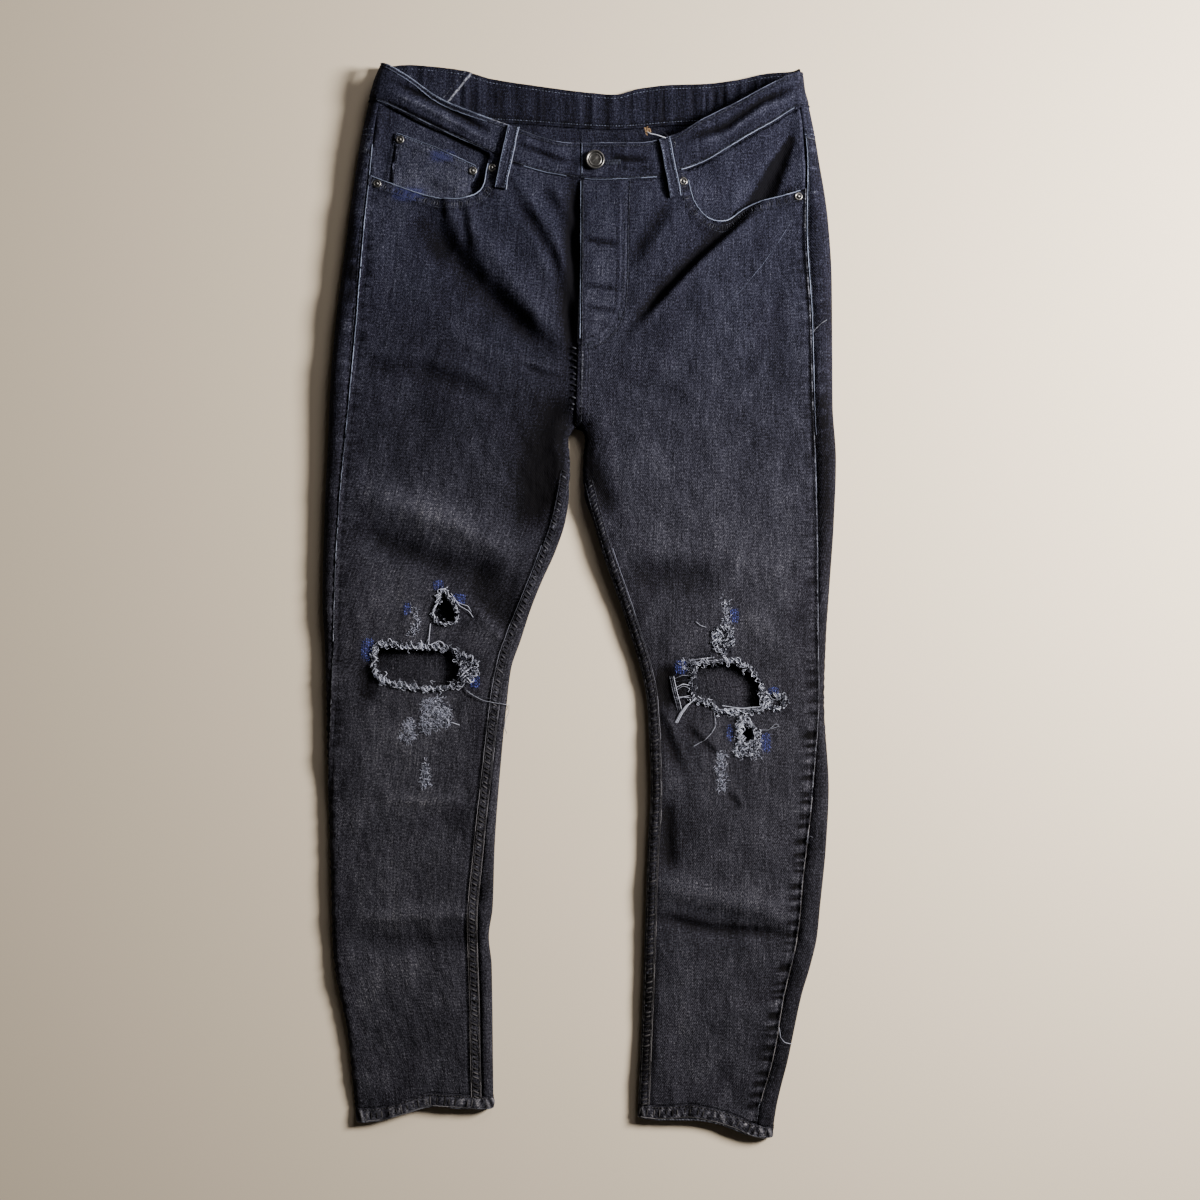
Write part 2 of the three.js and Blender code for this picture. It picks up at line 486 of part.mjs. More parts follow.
// Metal trim.
const surfaceZ = (x, y, lift) => topZ(x, y) + lift;
function lathe(profile, x, y, z) {
  const geometry = new THREE.LatheGeometry(profile.map(([r, h]) => new THREE.Vector2(r, h)), 20);
  geometry.rotateX(Math.PI / 2);
  geometry.translate(x, y, z);
  return solidOfGeometry(geometry);
}
const BUTTON_PROFILE = [[0, 0], [4.2, 0], [4.2, 1.2], [BUTTON_R - 0.5, 1.2], [BUTTON_R, 1.9], [BUTTON_R - 0.5, BUTTON_H],
  [BUTTON_R - 1.9, BUTTON_H], [BUTTON_R - 2.4, BUTTON_H - 0.5], [0, BUTTON_H - 0.5]];
add("button", lathe(BUTTON_PROFILE, ...BUTTON, surfaceZ(...BUTTON, BAND_PROUD + 0.8)), METAL);
const RIVET_PROFILE = [[0, 0], [RIVET_R, 0], [RIVET_R, 0.5], [RIVET_R - 1.1, 0.9], [1.9, 0.9], [1.2, RIVET_H], [0, RIVET_H]];
const RIVET_LIFT = { front: 0.6, coin: UNDER_FRONT + 0.6 };
for (const [name, [x, y, on]] of Object.entries(RIVETS)) add(name, lathe(RIVET_PROFILE, x, y, surfaceZ(x, y, RIVET_LIFT[on])), METAL);

export default garment;
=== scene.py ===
# Worn, ripped five-pocket jeans in washed-out black denim, laid flat on their back.
# Lengths are millimetres until a mesh is made. +Y is towards the waist, +X towards the wearer's left.
import math

import bpy
import numpy as np
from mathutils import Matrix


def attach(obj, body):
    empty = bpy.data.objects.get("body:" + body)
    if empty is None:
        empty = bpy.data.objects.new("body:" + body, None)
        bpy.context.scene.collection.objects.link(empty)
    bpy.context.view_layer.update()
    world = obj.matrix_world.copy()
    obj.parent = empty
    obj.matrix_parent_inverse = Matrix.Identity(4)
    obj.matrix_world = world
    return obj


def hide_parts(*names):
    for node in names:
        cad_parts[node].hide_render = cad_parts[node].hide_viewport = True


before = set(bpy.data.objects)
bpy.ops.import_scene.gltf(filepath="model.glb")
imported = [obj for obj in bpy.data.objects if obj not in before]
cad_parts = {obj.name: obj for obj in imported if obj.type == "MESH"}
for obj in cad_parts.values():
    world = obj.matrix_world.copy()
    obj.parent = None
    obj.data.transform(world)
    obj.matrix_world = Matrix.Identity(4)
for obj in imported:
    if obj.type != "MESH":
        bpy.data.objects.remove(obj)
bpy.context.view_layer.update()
MM = 0.001

# ---- Sizes --------------------------------------------------------------------------------------
CLOTH = 1.1  # one layer of denim
BAND = 2.6  # the waistband's thickness
HEM = 2.3  # a leg's turned-up end
BAND_PROUD = 0.9  # how far the waistband stands above the panels
CROTCH_Y = 178
FLY_FOOT = 262  # where the fly's stitching ends
PINCH = 0.42  # how much of its height the garment keeps at the crotch
LOOP_CLOTH = 1.9  # a belt loop's folded cloth
SEAT_LIFT = 2.4  # the seat lies on its pockets and belt loops
CELL = 2.7  # the size of a cloth mesh's faces
PANEL_ROWS = int(1000 / CELL)
BAND_ROWS = 24
WEAVE_REACH = 40  # the rows of a panel over which its weave is evened out, each way
ROUNDS = 6  # how often a grid's rows are moved until they follow its seams

# The upper layer's height: [y, z].
UPPER_LAYER = [
    (-560, 10.5), (-400, 12), (-200, 14), (-50, 15), (60, 17), (160, 20), (300, 23), (450, 24), (560, 26),
]
CENTRE = [(178, -4.5), (245, -2), (285, -1), (358, 1.8), (425, 2), (470, 0.8)]  # the fly's edge

# Outlines of each half: [y, distance from the centre line], from hem to waist.
RIGHT_OUTER = [
    (-560, 226), (-498, 233), (-437, 240), (-406, 246), (-375, 251), (-345, 254), (-220, 257),
    (-100, 260), (-40, 262), (0, 264), (84, 262), (145, 259), (240, 254), (300, 248), (360, 240),
    (420, 232), (480, 222), (528, 210), (549, 202), (570, 196),
]
RIGHT_INNER = [
    (-560, 88), (-375, 90), (-345, 93), (-314, 89), (-253, 87), (-160, 80), (-100, 74), (-69, 70),
    (-39, 60), (-8, 50), (22, 38), (53, 24), (84, 14), (112, 10.5), (145, 10.5), (168, 12), (178, 7),
]
RIGHT_OUTSEAM = [
    (-560, 227), (-406, 248), (-300, 259), (-215, 258), (-160, 256), (-60, 252), (50, 248), (118, 243),
    (206, 234), (300, 225), (375, 219), (434, 213), (480, 208), (520, 200), (570, 190),
]
RIGHT_INSEAM = [
    (-560, 99), (-455, 101), (-400, 102), (-330, 104), (-259, 98), (-168, 88), (-92, 79), (-58, 72),
    (-4, 51), (58, 27), (85, 18), (112, 12.5), (136, 9), (150, 6.5), (168, 7), (178, 4),
]
LEFT_OUTER = [
    (-580, 196), (-528, 202), (-467, 216), (-406, 229), (-375, 238), (-345, 245), (-314, 248),
    (-253, 254), (-192, 257), (-100, 252), (-39, 254), (22, 258), (84, 262), (145, 264), (206, 260),
    (328, 259), (390, 255), (451, 246), (504, 236), (524, 230), (541, 228), (570, 224),
]
LEFT_INNER = [
    (-580, 59), (-498, 62), (-406, 66), (-345, 68), (-253, 71), (-192, 74), (-130, 72), (-100, 70),
    (-69, 64), (-39, 55), (-8, 45), (22, 34), (53, 23), (84, 14), (112, 5), (145, 5), (168, 7), (178, 3),
]
LEFT_OUTSEAM = [
    (-580, 178), (-523, 184), (-471, 198), (-405, 210), (-340, 224), (-285, 229), (-195, 239), (-97, 245),
    (30, 244), (147, 241), (206, 238), (299, 235), (377, 230), (444, 231), (487, 227), (530, 220),
    (570, 214),
]
# The left inseam lies in the leg's inner fold up to y = -8.
LEFT_INSEAM = [
    *LEFT_INNER[:11], (22, 34.5), (53, 24), (84, 15), (104, 9), (122, 5), (140, 1.5), (168, 3), (178, 0),
]

# Seams across the garment: [x, y].
FRONT_TOP = [
    (-226, 562), (-202, 549.5), (-176, 534.5), (-142, 512), (-108, 497), (-75, 485), (-41, 473),
    (-14, 467), (13, 466.5), (61, 466.5), (98, 475), (128, 492), (162, 509), (196, 527), (228, 541),
    (246, 548),
]
FRONT_SEAM = [
    (-226, 515), (-213, 510.5), (-190, 502), (-159, 487), (-125, 472), (-95, 458), (-68, 445), (-41, 437),
    (-7, 430.5), (27, 427.5), (50, 428), (81, 430), (103, 437), (128, 447), (162, 467), (196, 486),
    (223, 502), (250, 510),
]
BACK_TOP = [
    (-226, 562), (-202, 551.5), (-176, 553), (-148, 551), (-118, 547), (-92, 539.5), (-41, 531.5),
    (10, 525), (37, 523), (61, 529), (94, 533), (128, 534), (162, 538), (196, 545), (228, 547),
    (246, 552),
]
BACK_SEAM = [
    (-226, 515), (-213, 511), (-190, 506), (-150, 498), (-54, 492.5), (10, 488), (37, 487), (94, 491),
    (150, 494.5), (200, 501), (223, 503.5), (250, 510),
]
YOKE = [(-260, 476), (-208, 474), (0, 418), (208, 470), (260, 472)]
HEM_RIGHT_TOP = [
    (-250, -520), (-224, -521), (-198, -518), (-174, -510), (-149, -504), (-131, -505), (-93, -508.5),
    (-70, -510),
]
HEM_RIGHT_END = [
    (-250, -536), (-224, -535), (-205, -533), (-180, -525.5), (-161, -520), (-143, -517.5), (-124, -520),
    (-93, -520.5), (-70, -519),
]
HEM_LEFT_TOP = [
    (40, -515), (64, -516), (82, -517.5), (112, -515.5), (135, -519.5), (159, -526.5), (180, -536),
    (198, -539.5), (215, -541),
]
HEM_LEFT_END = [
    (40, -527), (63, -530), (83, -532), (117, -532), (135, -534.5), (153, -539.5), (171, -546.5),
    (182, -549), (196, -550.5), (215, -551),
]

# Pocket mouths and tears, as closed outlines.
SCOOP_RIGHT = [
    (-230, 436), (-211, 433.5), (-198, 428), (-181, 422), (-164, 416), (-147, 411.5), (-130, 409),
    (-115, 411), (-105, 414), (-98, 419), (-95, 427), (-96, 435), (-92, 448), (-88, 480), (-140, 520),
    (-240, 540),
]
SCOOP_LEFT = [
    (240, 422), (225, 418.5), (211, 414.5), (195, 410.5), (176, 405.5), (162, 399), (155, 390),
    (146, 386), (134, 388), (125, 395), (117, 406.5), (113, 420), (110, 436), (110, 470), (170, 520),
    (260, 540),
]
COIN_POCKET = [
    (-185, 476.5), (-147, 463), (-122, 451.5), (-102.5, 442), (-111, 424), (-104, 404), (-150, 400),
    (-194, 408),
]
TEAR_RIGHT_KNEE = [
    (-206, -46), (-190, -46), (-172, -48), (-149, -48), (-136, -49), (-128, -53), (-123, -64),
    (-120, -76), (-122, -84), (-140, -86), (-158, -87), (-178, -84), (-194, -81), (-206, -76),
    (-208, -64),
]
TEAR_RIGHT_SMALL = [(-139, 11), (-131, 0), (-126, -11), (-128, -20), (-142, -21), (-147, -13), (-143, 0)]
TEAR_LEFT_KNEE = [(121, -65), (136, -63), (160, -62), (172, -69), (180, -77), (186, -88), (184, -96),
                  (188, -108), (160, -111), (144, -110), (139, -103), (125, -99), (118, -98), (117, -80)]
TEAR_LEFT_SMALL = [(167, -124), (176, -127), (178, -141), (168, -144), (163, -134)]
TEARS = [TEAR_RIGHT_KNEE, TEAR_RIGHT_SMALL, TEAR_LEFT_KNEE, TEAR_LEFT_SMALL]

# Folds and creases: a line, its width, its depth (below 0 for a trough), the height of a ridge on the
# line's left, and how much painted highlight lies along it, below 0 for painted shade.
FOLDS = [
    # the waistband
    ([(-190, 528), (-150, 510), (-86, 475)], 3.0, -2.8, 0.0, -0.32),
    ([(-196, 519), (-150, 499), (-88, 466)], 2.4, 2.0, 0.0, 0.2),
    ([(-200, 509), (-160, 491), (-98, 458)], 3.0, -2.4, 0.0, -0.28),
    ([(105, 469), (147, 483), (186, 509), (226, 525)], 3.2, -3.0, 0.0, -0.3),
    ([(105, 460), (147, 473), (186, 500), (226, 515)], 2.4, 2.0, 0.0, 0.2),
    ([(-66, 466), (-30, 452), (-6, 446)], 3.5, -2.2, 0.8, -0.2),
    ([(-56, 458), (-25, 447)], 3.0, 1.4, 0.0, 0.1),
    ([(30, 452), (48, 449), (70, 449)], 3.0, -2.2, 0.8, -0.28),
    ([(34, 440), (78, 437)], 3.5, -1.4, 0.6, -0.1),
    # the wearer's right hip
    ([(-166, 412), (-146, 380), (-118, 338), (-80, 298), (-46, 266), (-16, 244)], 18, -5.0, 2.0, -0.12),
    ([(-160, 408), (-142, 378), (-116, 340), (-80, 302), (-46, 270), (-16, 250)], 10, -3.0, 1.2, -0.12),
    ([(-172, 396), (-150, 366), (-128, 350)], 13, -3.0, 0.0, -0.16),
    ([(-142, 412), (-138, 390)], 4.5, -2.0, 1.0, -0.12),
    ([(-120, 412), (-117, 385), (-110, 352)], 5.5, -2.4, 1.6, -0.11),
    ([(-72, 424), (-60, 402), (-44, 378), (-27, 348), (-17, 310), (-11, 262)], 7.5, -3.6, 2.2, -0.15),
    ([(-46, 426), (-24, 402), (-9, 370), (-5, 340)], 6.5, -2.4, 1.2, -0.1),
    ([(-107, 382), (-78, 345), (-48, 300), (-30, 274)], 11, 3.5, 0.0, 0.09),
    ([(-60, 396), (-40, 360), (-22, 318)], 6, 2.5, 0.0, 0.08),
    ([(-5, 444), (-6, 360), (-8, 300), (-9, 236)], 7.5, -6.0, 0.0, -0.4),
    ([(-67, 250), (-40, 240), (-12, 233)], 4, 1.6, 0.0, 0.08),
    ([(-60, 243), (-38, 233), (-14, 228)], 3, -1.6, 0.0, -0.12),
    ([(-10, 226), (-26, 190), (-40, 150), (-50, 105), (-56, 62)], 20, -4.5, 0.0, -0.3),
    ([(-28, 160), (-28, 120), (-36, 86)], 14, -2.0, 0.0, -0.16),
    ([(-231, 242), (-158, 235), (-99, 213), (-70, 203)], 10, -3.0, 1.6, -0.12),
    ([(-230, 400), (-232, 344), (-228, 290)], 5, -1.5, 0.0, -0.25),
    ([(-180, 330), (-120, 270), (-60, 232)], 9, 1.5, 0.0, 0.04),
    ([(-220, 300), (-205, 330), (-198, 370)], 12, 1.0, 0.0, 0.04),
    # the right thigh and knee
    ([(-238, 116), (-165, 92), (-99, 64), (-46, 44)], 16, 6.0, 0.0, 0.12),
    ([(-238, 80), (-187, 55), (-129, 36), (-70, 22)], 13, -5.0, 0.0, -0.22),
    ([(-120, 18), (-80, 4), (-56, -2)], 20, -3.0, 0.0, -0.2),
    ([(-96, -2), (-70, -26)], 12, -2.0, 0.0, -0.16),
    ([(-118, 6), (-92, -22), (-74, -46)], 6, 2.5, 0.0, 0.09),
    ([(-219, -62), (-219, -104)], 9, -1.5, 0.0, -0.26),
    ([(-205, -200), (-160, -205), (-110, -203)], 5, 1.4, 0.0, 0.06),
    ([(-235, -226), (-100, -228)], 16, -1.2, 0.0, -0.08),
    ([(-244, -322), (-180, -322), (-90, -318)], 9, 3.5, 0.0, 0.07),
    ([(-244, -350), (-175, -352), (-90, -348)], 12, -4.0, 0.0, -0.1),
    ([(-96, -230), (-96, -330)], 7, -1.0, 0.0, -0.12),
    ([(-215, -420), (-190, -470)], 10, 1.0, 0.0, 0.03),
    # the wearer's left hip
    ([(190, 418), (160, 388), (119, 352), (83, 315), (50, 278)], 5.5, -7.0, 3.5, -0.3),
    ([(196, 424), (160, 392), (119, 356), (83, 319), (50, 282)], 13, -1.0, 0.0, -0.12),
    ([(176, 398), (130, 350), (90, 306)], 14, 2.0, 0.0, 0.06),
    ([(95, 410), (74, 378), (52, 346)], 7, -2.0, 1.0, -0.16),
    ([(4, 369), (42, 363)], 2.6, -2.0, 1.6, -0.22),
    ([(4, 322), (42, 318)], 2.6, -1.6, 1.4, -0.18),
    ([(4, 301), (40, 295)], 2.5, -1.6, 1.2, -0.16),
    ([(4, 284), (36, 281)], 2.5, -1.0, 0.6, -0.08),
    ([(8, 188), (8, 150), (17, 126), (40, 84)], 9, -2.0, 0.0, -0.3),
    ([(60, 262), (110, 215), (150, 190)], 9, 1.0, 0.0, 0.03),
    ([(20, 238), (60, 220), (104, 208)], 9, -0.6, 0.0, -0.03),
    ([(246, 240), (249, 150), (250, 60)], 8, -1.0, 0.0, -0.18),
    ([(197, 340), (202, 290), (200, 240)], 7, -1.0, 0.0, -0.09),
    # the left thigh and knee
    ([(44, 26), (100, 26), (146, 18)], 17, -4.0, 1.5, -0.2),
    ([(146, 56), (190, 40), (215, 20)], 20, 2.0, 0.0, 0.09),
    ([(163, -5), (192, -28), (206, -60)], 12, 1.5, 0.0, 0.13),
    ([(92, -62), (86, -84), (90, -112)], 10, -3.0, 0.0, -0.4),
    ([(76, -104), (90, -140), (105, -176)], 6, -2.5, 1.4, -0.16),
    ([(106, -126), (124, -142), (142, -158)], 4, -1.8, 1.0, -0.16),
    ([(150, -194), (158, -203), (163, -214)], 4, -2.0, 1.0, -0.2),
    ([(90, -198), (92, -282)], 8, -4.5, 0.0, -0.34),
    ([(72, -287), (134, -303), (226, -322)], 13, 5.0, 0.0, 0.09),
    ([(68, -321), (134, -337), (228, -342)], 6, -4.5, 0.0, -0.24),
    ([(72, -360), (71, -500)], 7, -1.0, 0.0, -0.3),
    ([(106, -368), (112, -450)], 12, 1.5, 0.0, 0.07),
    ([(185, -400), (165, -470)], 9, 1.0, 0.0, 0.03),
]
# Where the back of a knee stands off the floor: x, y, width, height, rise.
KNEES = [(-150, -55, 50, 46, 7.5), (166, -84, 44, 40, 7.0)]
# Paler and darker places, partly faded dye and partly painted light and shade: x, y, width, height, how
# much lighter.
FADES_AND_SHADES = [
    (125, 130, 90, 150, 0.03), (150, 40, 90, 70, 0.05), (-110, 75, 120, 50, 0.04),
    (-150, 300, 150, 180, -0.03), (-150, -400, 120, 200, -0.03), (160, -150, 80, 90, 0.05),
    (24, 335, 17, 75, 0.11), (25, 290, 14, 26, 0.08), (24, 420, 16, 16, 0.05), (-120, 440, 130, 60, 0.1),
    (-190, 370, 60, 60, 0.07), (-170, -330, 110, 260, 0.11), (150, -380, 100, 160, 0.04),
    (-150, 436, 35, 10, 0.04), (-190, -10, 60, 45, 0.06), (120, -500, 100, 60, 0.03),
    (-36, 455, 34, 12, 0.06), (86, -120, 14, 60, -0.07), (110, 455, 150, 40, -0.02),
    (-148, -114, 12, 15, 0.22), (-176, -131, 7, 11, 0.2), (-157, -176, 5, 12, 0.2),
    (-169, -18, 5, 14, 0.16), (151, -8, 4, 14, 0.18), (146, -174, 5, 18, 0.2), (148, -38, 5, 6, -0.3),
    (201, -102, 6, 4, -0.2), (172, -130, 6, 6, -0.3), (174, -147, 4, 5, -0.3), (106, -86, 5, 14, -0.25),
    (-145, -10, 60, 50, 0.05), (96, -77, 9, 9, -0.35), (110, 105, 70, 110, 0.04),
    (130, -15, 70, 34, 0.02), (-152, 104, 60, 40, 0.07), (-172, -140, 50, 60, 0.06),
    (-190, -280, 45, 260, 0.05), (-50, 110, 26, 60, -0.06), (100, -460, 45, 60, 0.03),
    (190, -470, 40, 60, -0.06), (90, 460, 260, 30, -0.03), (40, 350, 300, 160, -0.01),
]


# ---- Plain geometry -----------------------------------------------------------------------------
def mix(a, b, t):
    return a + (b - a) * t


def smooth(t):
    t = np.clip(t, 0, 1)
    return t * t * (3 - 2 * t)


def bell(away, width):
    """1 where away is 0, falling off to both sides over the given width."""
    return np.exp(-((away / width) ** 2))


def unit(vectors):
    return vectors / np.maximum(np.linalg.norm(vectors, axis=-1, keepdims=True), 1e-9)


def left_of(along):
    """The plan directions to the left of the given ones."""
    return np.column_stack([-along[:, 1], along[:, 0]])


def run_of(points):
    """How far along a polyline each of its points is."""
    return np.concatenate([[0], np.cumsum(np.hypot(*np.diff(points, axis=0).T))])


def soften(points, times):
    """Round a polyline's corners off, with its ends left in place."""
    for _ in range(times):
        points[1:-1] = (points[:-2] + 2 * points[1:-1] + points[2:]) / 4
    return points


def curve(points):
    """A smooth function through (x, y) points with x rising, which doesn't overshoot them."""
    xs, ys = np.array(points, float).T
    width = np.diff(xs)
    slope = np.diff(ys) / width
    before = slope[:-1]
    after = slope[1:]
    same = before * after > 0
    bend = np.where(same, 2 * before * after / np.where(same, before + after, 1), 0)
    tangent = np.concatenate([slope[:1], bend, slope[-1:]])

    def at(x):
        x = np.asarray(x, float)
        i = np.clip(np.searchsorted(xs, x) - 1, 0, len(xs) - 2)
        t = np.clip((x - xs[i]) / width[i], 0, 1)
        inside = ((2 * t**3 - 3 * t**2 + 1) * ys[i] + (t**3 - 2 * t**2 + t) * width[i] * tangent[i]
                  + (3 * t**2 - 2 * t**3) * ys[i + 1] + (t**3 - t**2) * width[i] * tangent[i + 1])
        return inside + tangent[0] * np.minimum(x - xs[0], 0) + tangent[-1] * np.maximum(x - xs[-1], 0)

    return at


def to_line(line, x, y):
    """Distance from points to a polyline, on which side they are, and how far along it they are, in mm."""
    best = np.full(x.shape, 1e9)
    side = np.zeros(x.shape)
    run = np.zeros(x.shape)
    before = 0.0
    for (ax, ay), (bx, by) in zip(line[:-1], line[1:]):
        length = math.hypot(bx - ax, by - ay)
        dx = (bx - ax) / length
        dy = (by - ay) / length
        t = np.clip((x - ax) * dx + (y - ay) * dy, 0, length)
        px = x - ax - t * dx
        py = y - ay - t * dy
        distance = np.hypot(px, py)
        near = distance < best
        best = np.where(near, distance, best)
        side = np.where(near, np.sign(dx * py - dy * px), side)
        run = np.where(near, before + t, run)
        before += length
    return best, side, run


def length_of(line):
    points = np.array(line, float)
    return float(np.hypot(*np.diff(points, axis=0).T).sum())


def inside(outline, x, y):
    """Which points are inside a closed outline."""
    found = np.zeros(x.shape, bool)
    for (ax, ay), (bx, by) in zip(outline, outline[1:] + outline[:1]):
        if ay != by:
            crosses = (ay > y) != (by > y)
            found ^= crosses & (x < (bx - ax) * (y - ay) / (by - ay) + ax)
    return found


def resample(line, step):
    """Points every step along a polyline, with its direction there."""
    points = np.array(line, float)
    run = run_of(points)
    count = max(2, int(round(run[-1] / step)) + 1)
    at = np.linspace(0, run[-1], count)
    placed = np.column_stack([np.interp(at, run, points[:, 0]), np.interp(at, run, points[:, 1])])
    return placed, unit(np.gradient(placed, axis=0))


def rounded(line, step=3):
    """A polyline with its corners smoothed."""
    points, _ = resample(line, step)
    return soften(points, 3)


def offset(line, distance):
    """A polyline moved sideways, to the left of its direction."""
    points, along = resample(rounded(line), 3)
    return points + distance * left_of(along)


def seam_of(side, seam, low, high, step=5):
    """The polyline of a seam that is given as a distance from the centre line at each y."""
    y = np.linspace(low, high, max(2, int((high - low) / step)))
    return np.column_stack([side * curve(seam)(y), y])


def across(seam, low, high, rise=0.0, step=5):
    """The polyline of a seam that is given as y at each x, moved by rise along y."""
    x = np.linspace(low, high, max(2, int((high - low) / step)))
    return np.column_stack([x, curve(seam)(x) + rise])


# ---- Maps over the upper layer ------------------------------------------------------------------
STEP = 1.5
MAP_X = np.arange(-280, 281, STEP)
MAP_Y = np.arange(-580, 581, STEP)
GRID_X, GRID_Y = np.meshgrid(MAP_X, MAP_Y)


def sample(field, x, y):
    """A map's values at plan places, between its own points."""
    column = np.clip((np.asarray(x, float) - MAP_X[0]) / STEP, 0, len(MAP_X) - 1.001)
    row = np.clip((np.asarray(y, float) - MAP_Y[0]) / STEP, 0, len(MAP_Y) - 1.001)
    i = row.astype(int)
    j = column.astype(int)
    a = row - i
    b = column - j
    low = mix(field[i, j], field[i, j + 1], b)
    high = mix(field[i + 1, j], field[i + 1, j + 1], b)
    return mix(low, high, a)


def noise(wide, tall, seed):
    """Smooth seeded noise of unit strength, with features of the given width and height."""
    white = np.random.default_rng(seed).normal(size=GRID_X.shape)
    fy = np.fft.fftfreq(white.shape[0], STEP)[:, None]
    fx = np.fft.rfftfreq(white.shape[1], STEP)[None, :]
    soft = np.exp(-((fx * wide) ** 2 + (fy * tall) ** 2) * 2)
    field = np.fft.irfft2(np.fft.rfft2(white) * soft, s=white.shape)
    return field / field.std()


def paint_line(field, line, width, value, taper=0.25):
    """Add a soft stroke along a line, which fades out at its ends."""
    points = np.array(line, float)
    reach = 3 * width
    low = points.min(0) - reach
    high = points.max(0) + reach
    rows = slice(*np.searchsorted(MAP_Y, [low[1], high[1]]))
    columns = slice(*np.searchsorted(MAP_X, [low[0], high[0]]))
    x = GRID_X[rows, columns]
    y = GRID_Y[rows, columns]
    distance, _, run = to_line(line, x, y)
    share = run / length_of(line)
    ends = smooth(share / taper) * smooth((1 - share) / taper) if taper else 1
    field[rows, columns] += value * (0.15 + 0.85 * ends) * bell(distance, width)


def paint_fold(field, line, width, depth, ridge):
    """Add a trough or ridge along a line, with a second ridge on its left."""
    paint_line(field, line, width, depth)
    if ridge:
        beside = [tuple(p) for p in offset(line, 1.35 * width).tolist()]
        paint_line(field, beside, 0.8 * width, ridge)


def make_relief():
    """Heights of folds, creases and the cloth's unevenness over the upper layer."""
    field = 0.6 * noise(60, 110, 1) + 0.4 * noise(22, 34, 2) + 0.16 * noise(9, 13, 3)
    for line, width, depth, ridge, _ in FOLDS:
        paint_fold(field, line, width, depth, ridge)
    for tear in TEARS:
        rim = tear + tear[:1]
        paint_line(field, rim, 4, 1.0, taper=0)
        paint_line(field, rim, 12, -0.8, taper=0)
    return field


def make_fade_and_shade():
    """How much lighter or darker the upper layer is: faded dye, with painted shade and highlights along the
    folds and a painted shadow round each tear.
    """
    field = 0.018 * noise(40, 70, 11) + 0.016 * noise(12, 26, 12)
    # a painted shadow round each tear's rim
    for tear in TEARS:
        paint_line(field, tear + tear[:1], 5.5, -0.13, taper=0)
    for x, y, wide, tall, value in FADES_AND_SHADES:
        field += value * np.exp(-(((GRID_X - x) / wide) ** 2 + ((GRID_Y - y) / tall) ** 2))
    for line, width, _, ridge, shade in FOLDS:
        # the painted shade in the hips' deep folds is darker still
        deep = shade < -0.13 and line[0][1] > 120
        paint_line(field, line, width, shade * (1.4 if deep else 1.0))
        # a painted highlight on the ridge beside the fold
        if ridge:
            paint_line(field, offset(line, 1.4 * width).tolist(), 0.7 * width, 0.012 * ridge)
    return field


RELIEF = make_relief()
FADE_AND_SHADE = make_fade_and_shade()
upper_layer = curve(UPPER_LAYER)
centre_x = curve(CENTRE)


# ---- The garment's form -------------------------------------------------------------------------
def top_z(x, y):
    """Outer height of the upper layer."""
    full = upper_layer(y) + sample(RELIEF, x, y)
    crotch = np.hypot(x - centre_x(y), np.maximum(0, y - CROTCH_Y + 2))
    pinch = np.where(y > CROTCH_Y - 20, mix(PINCH, 1, smooth(crotch / 22)), 1)
    return full * pinch


def bottom_z(x, y):
    """Outer height of the lower layer, which rises to meet the upper one at the crotch."""
    foot = SEAT_LIFT * smooth((y - 150) / 60)
    crotch = np.hypot(x - centre_x(y), y - CROTCH_Y)
    for knee_x, knee_y, wide, tall, rise in KNEES:
        foot = foot + rise * np.exp(-(((x - knee_x) / wide) ** 2) - (((y - knee_y) / tall) ** 2))
    meeting = PINCH * upper_layer(CROTCH_Y) - 2 * CLOTH - 0.8
    return np.where(y < CROTCH_Y, foot, mix(meeting, foot, smooth(crotch / 34)))


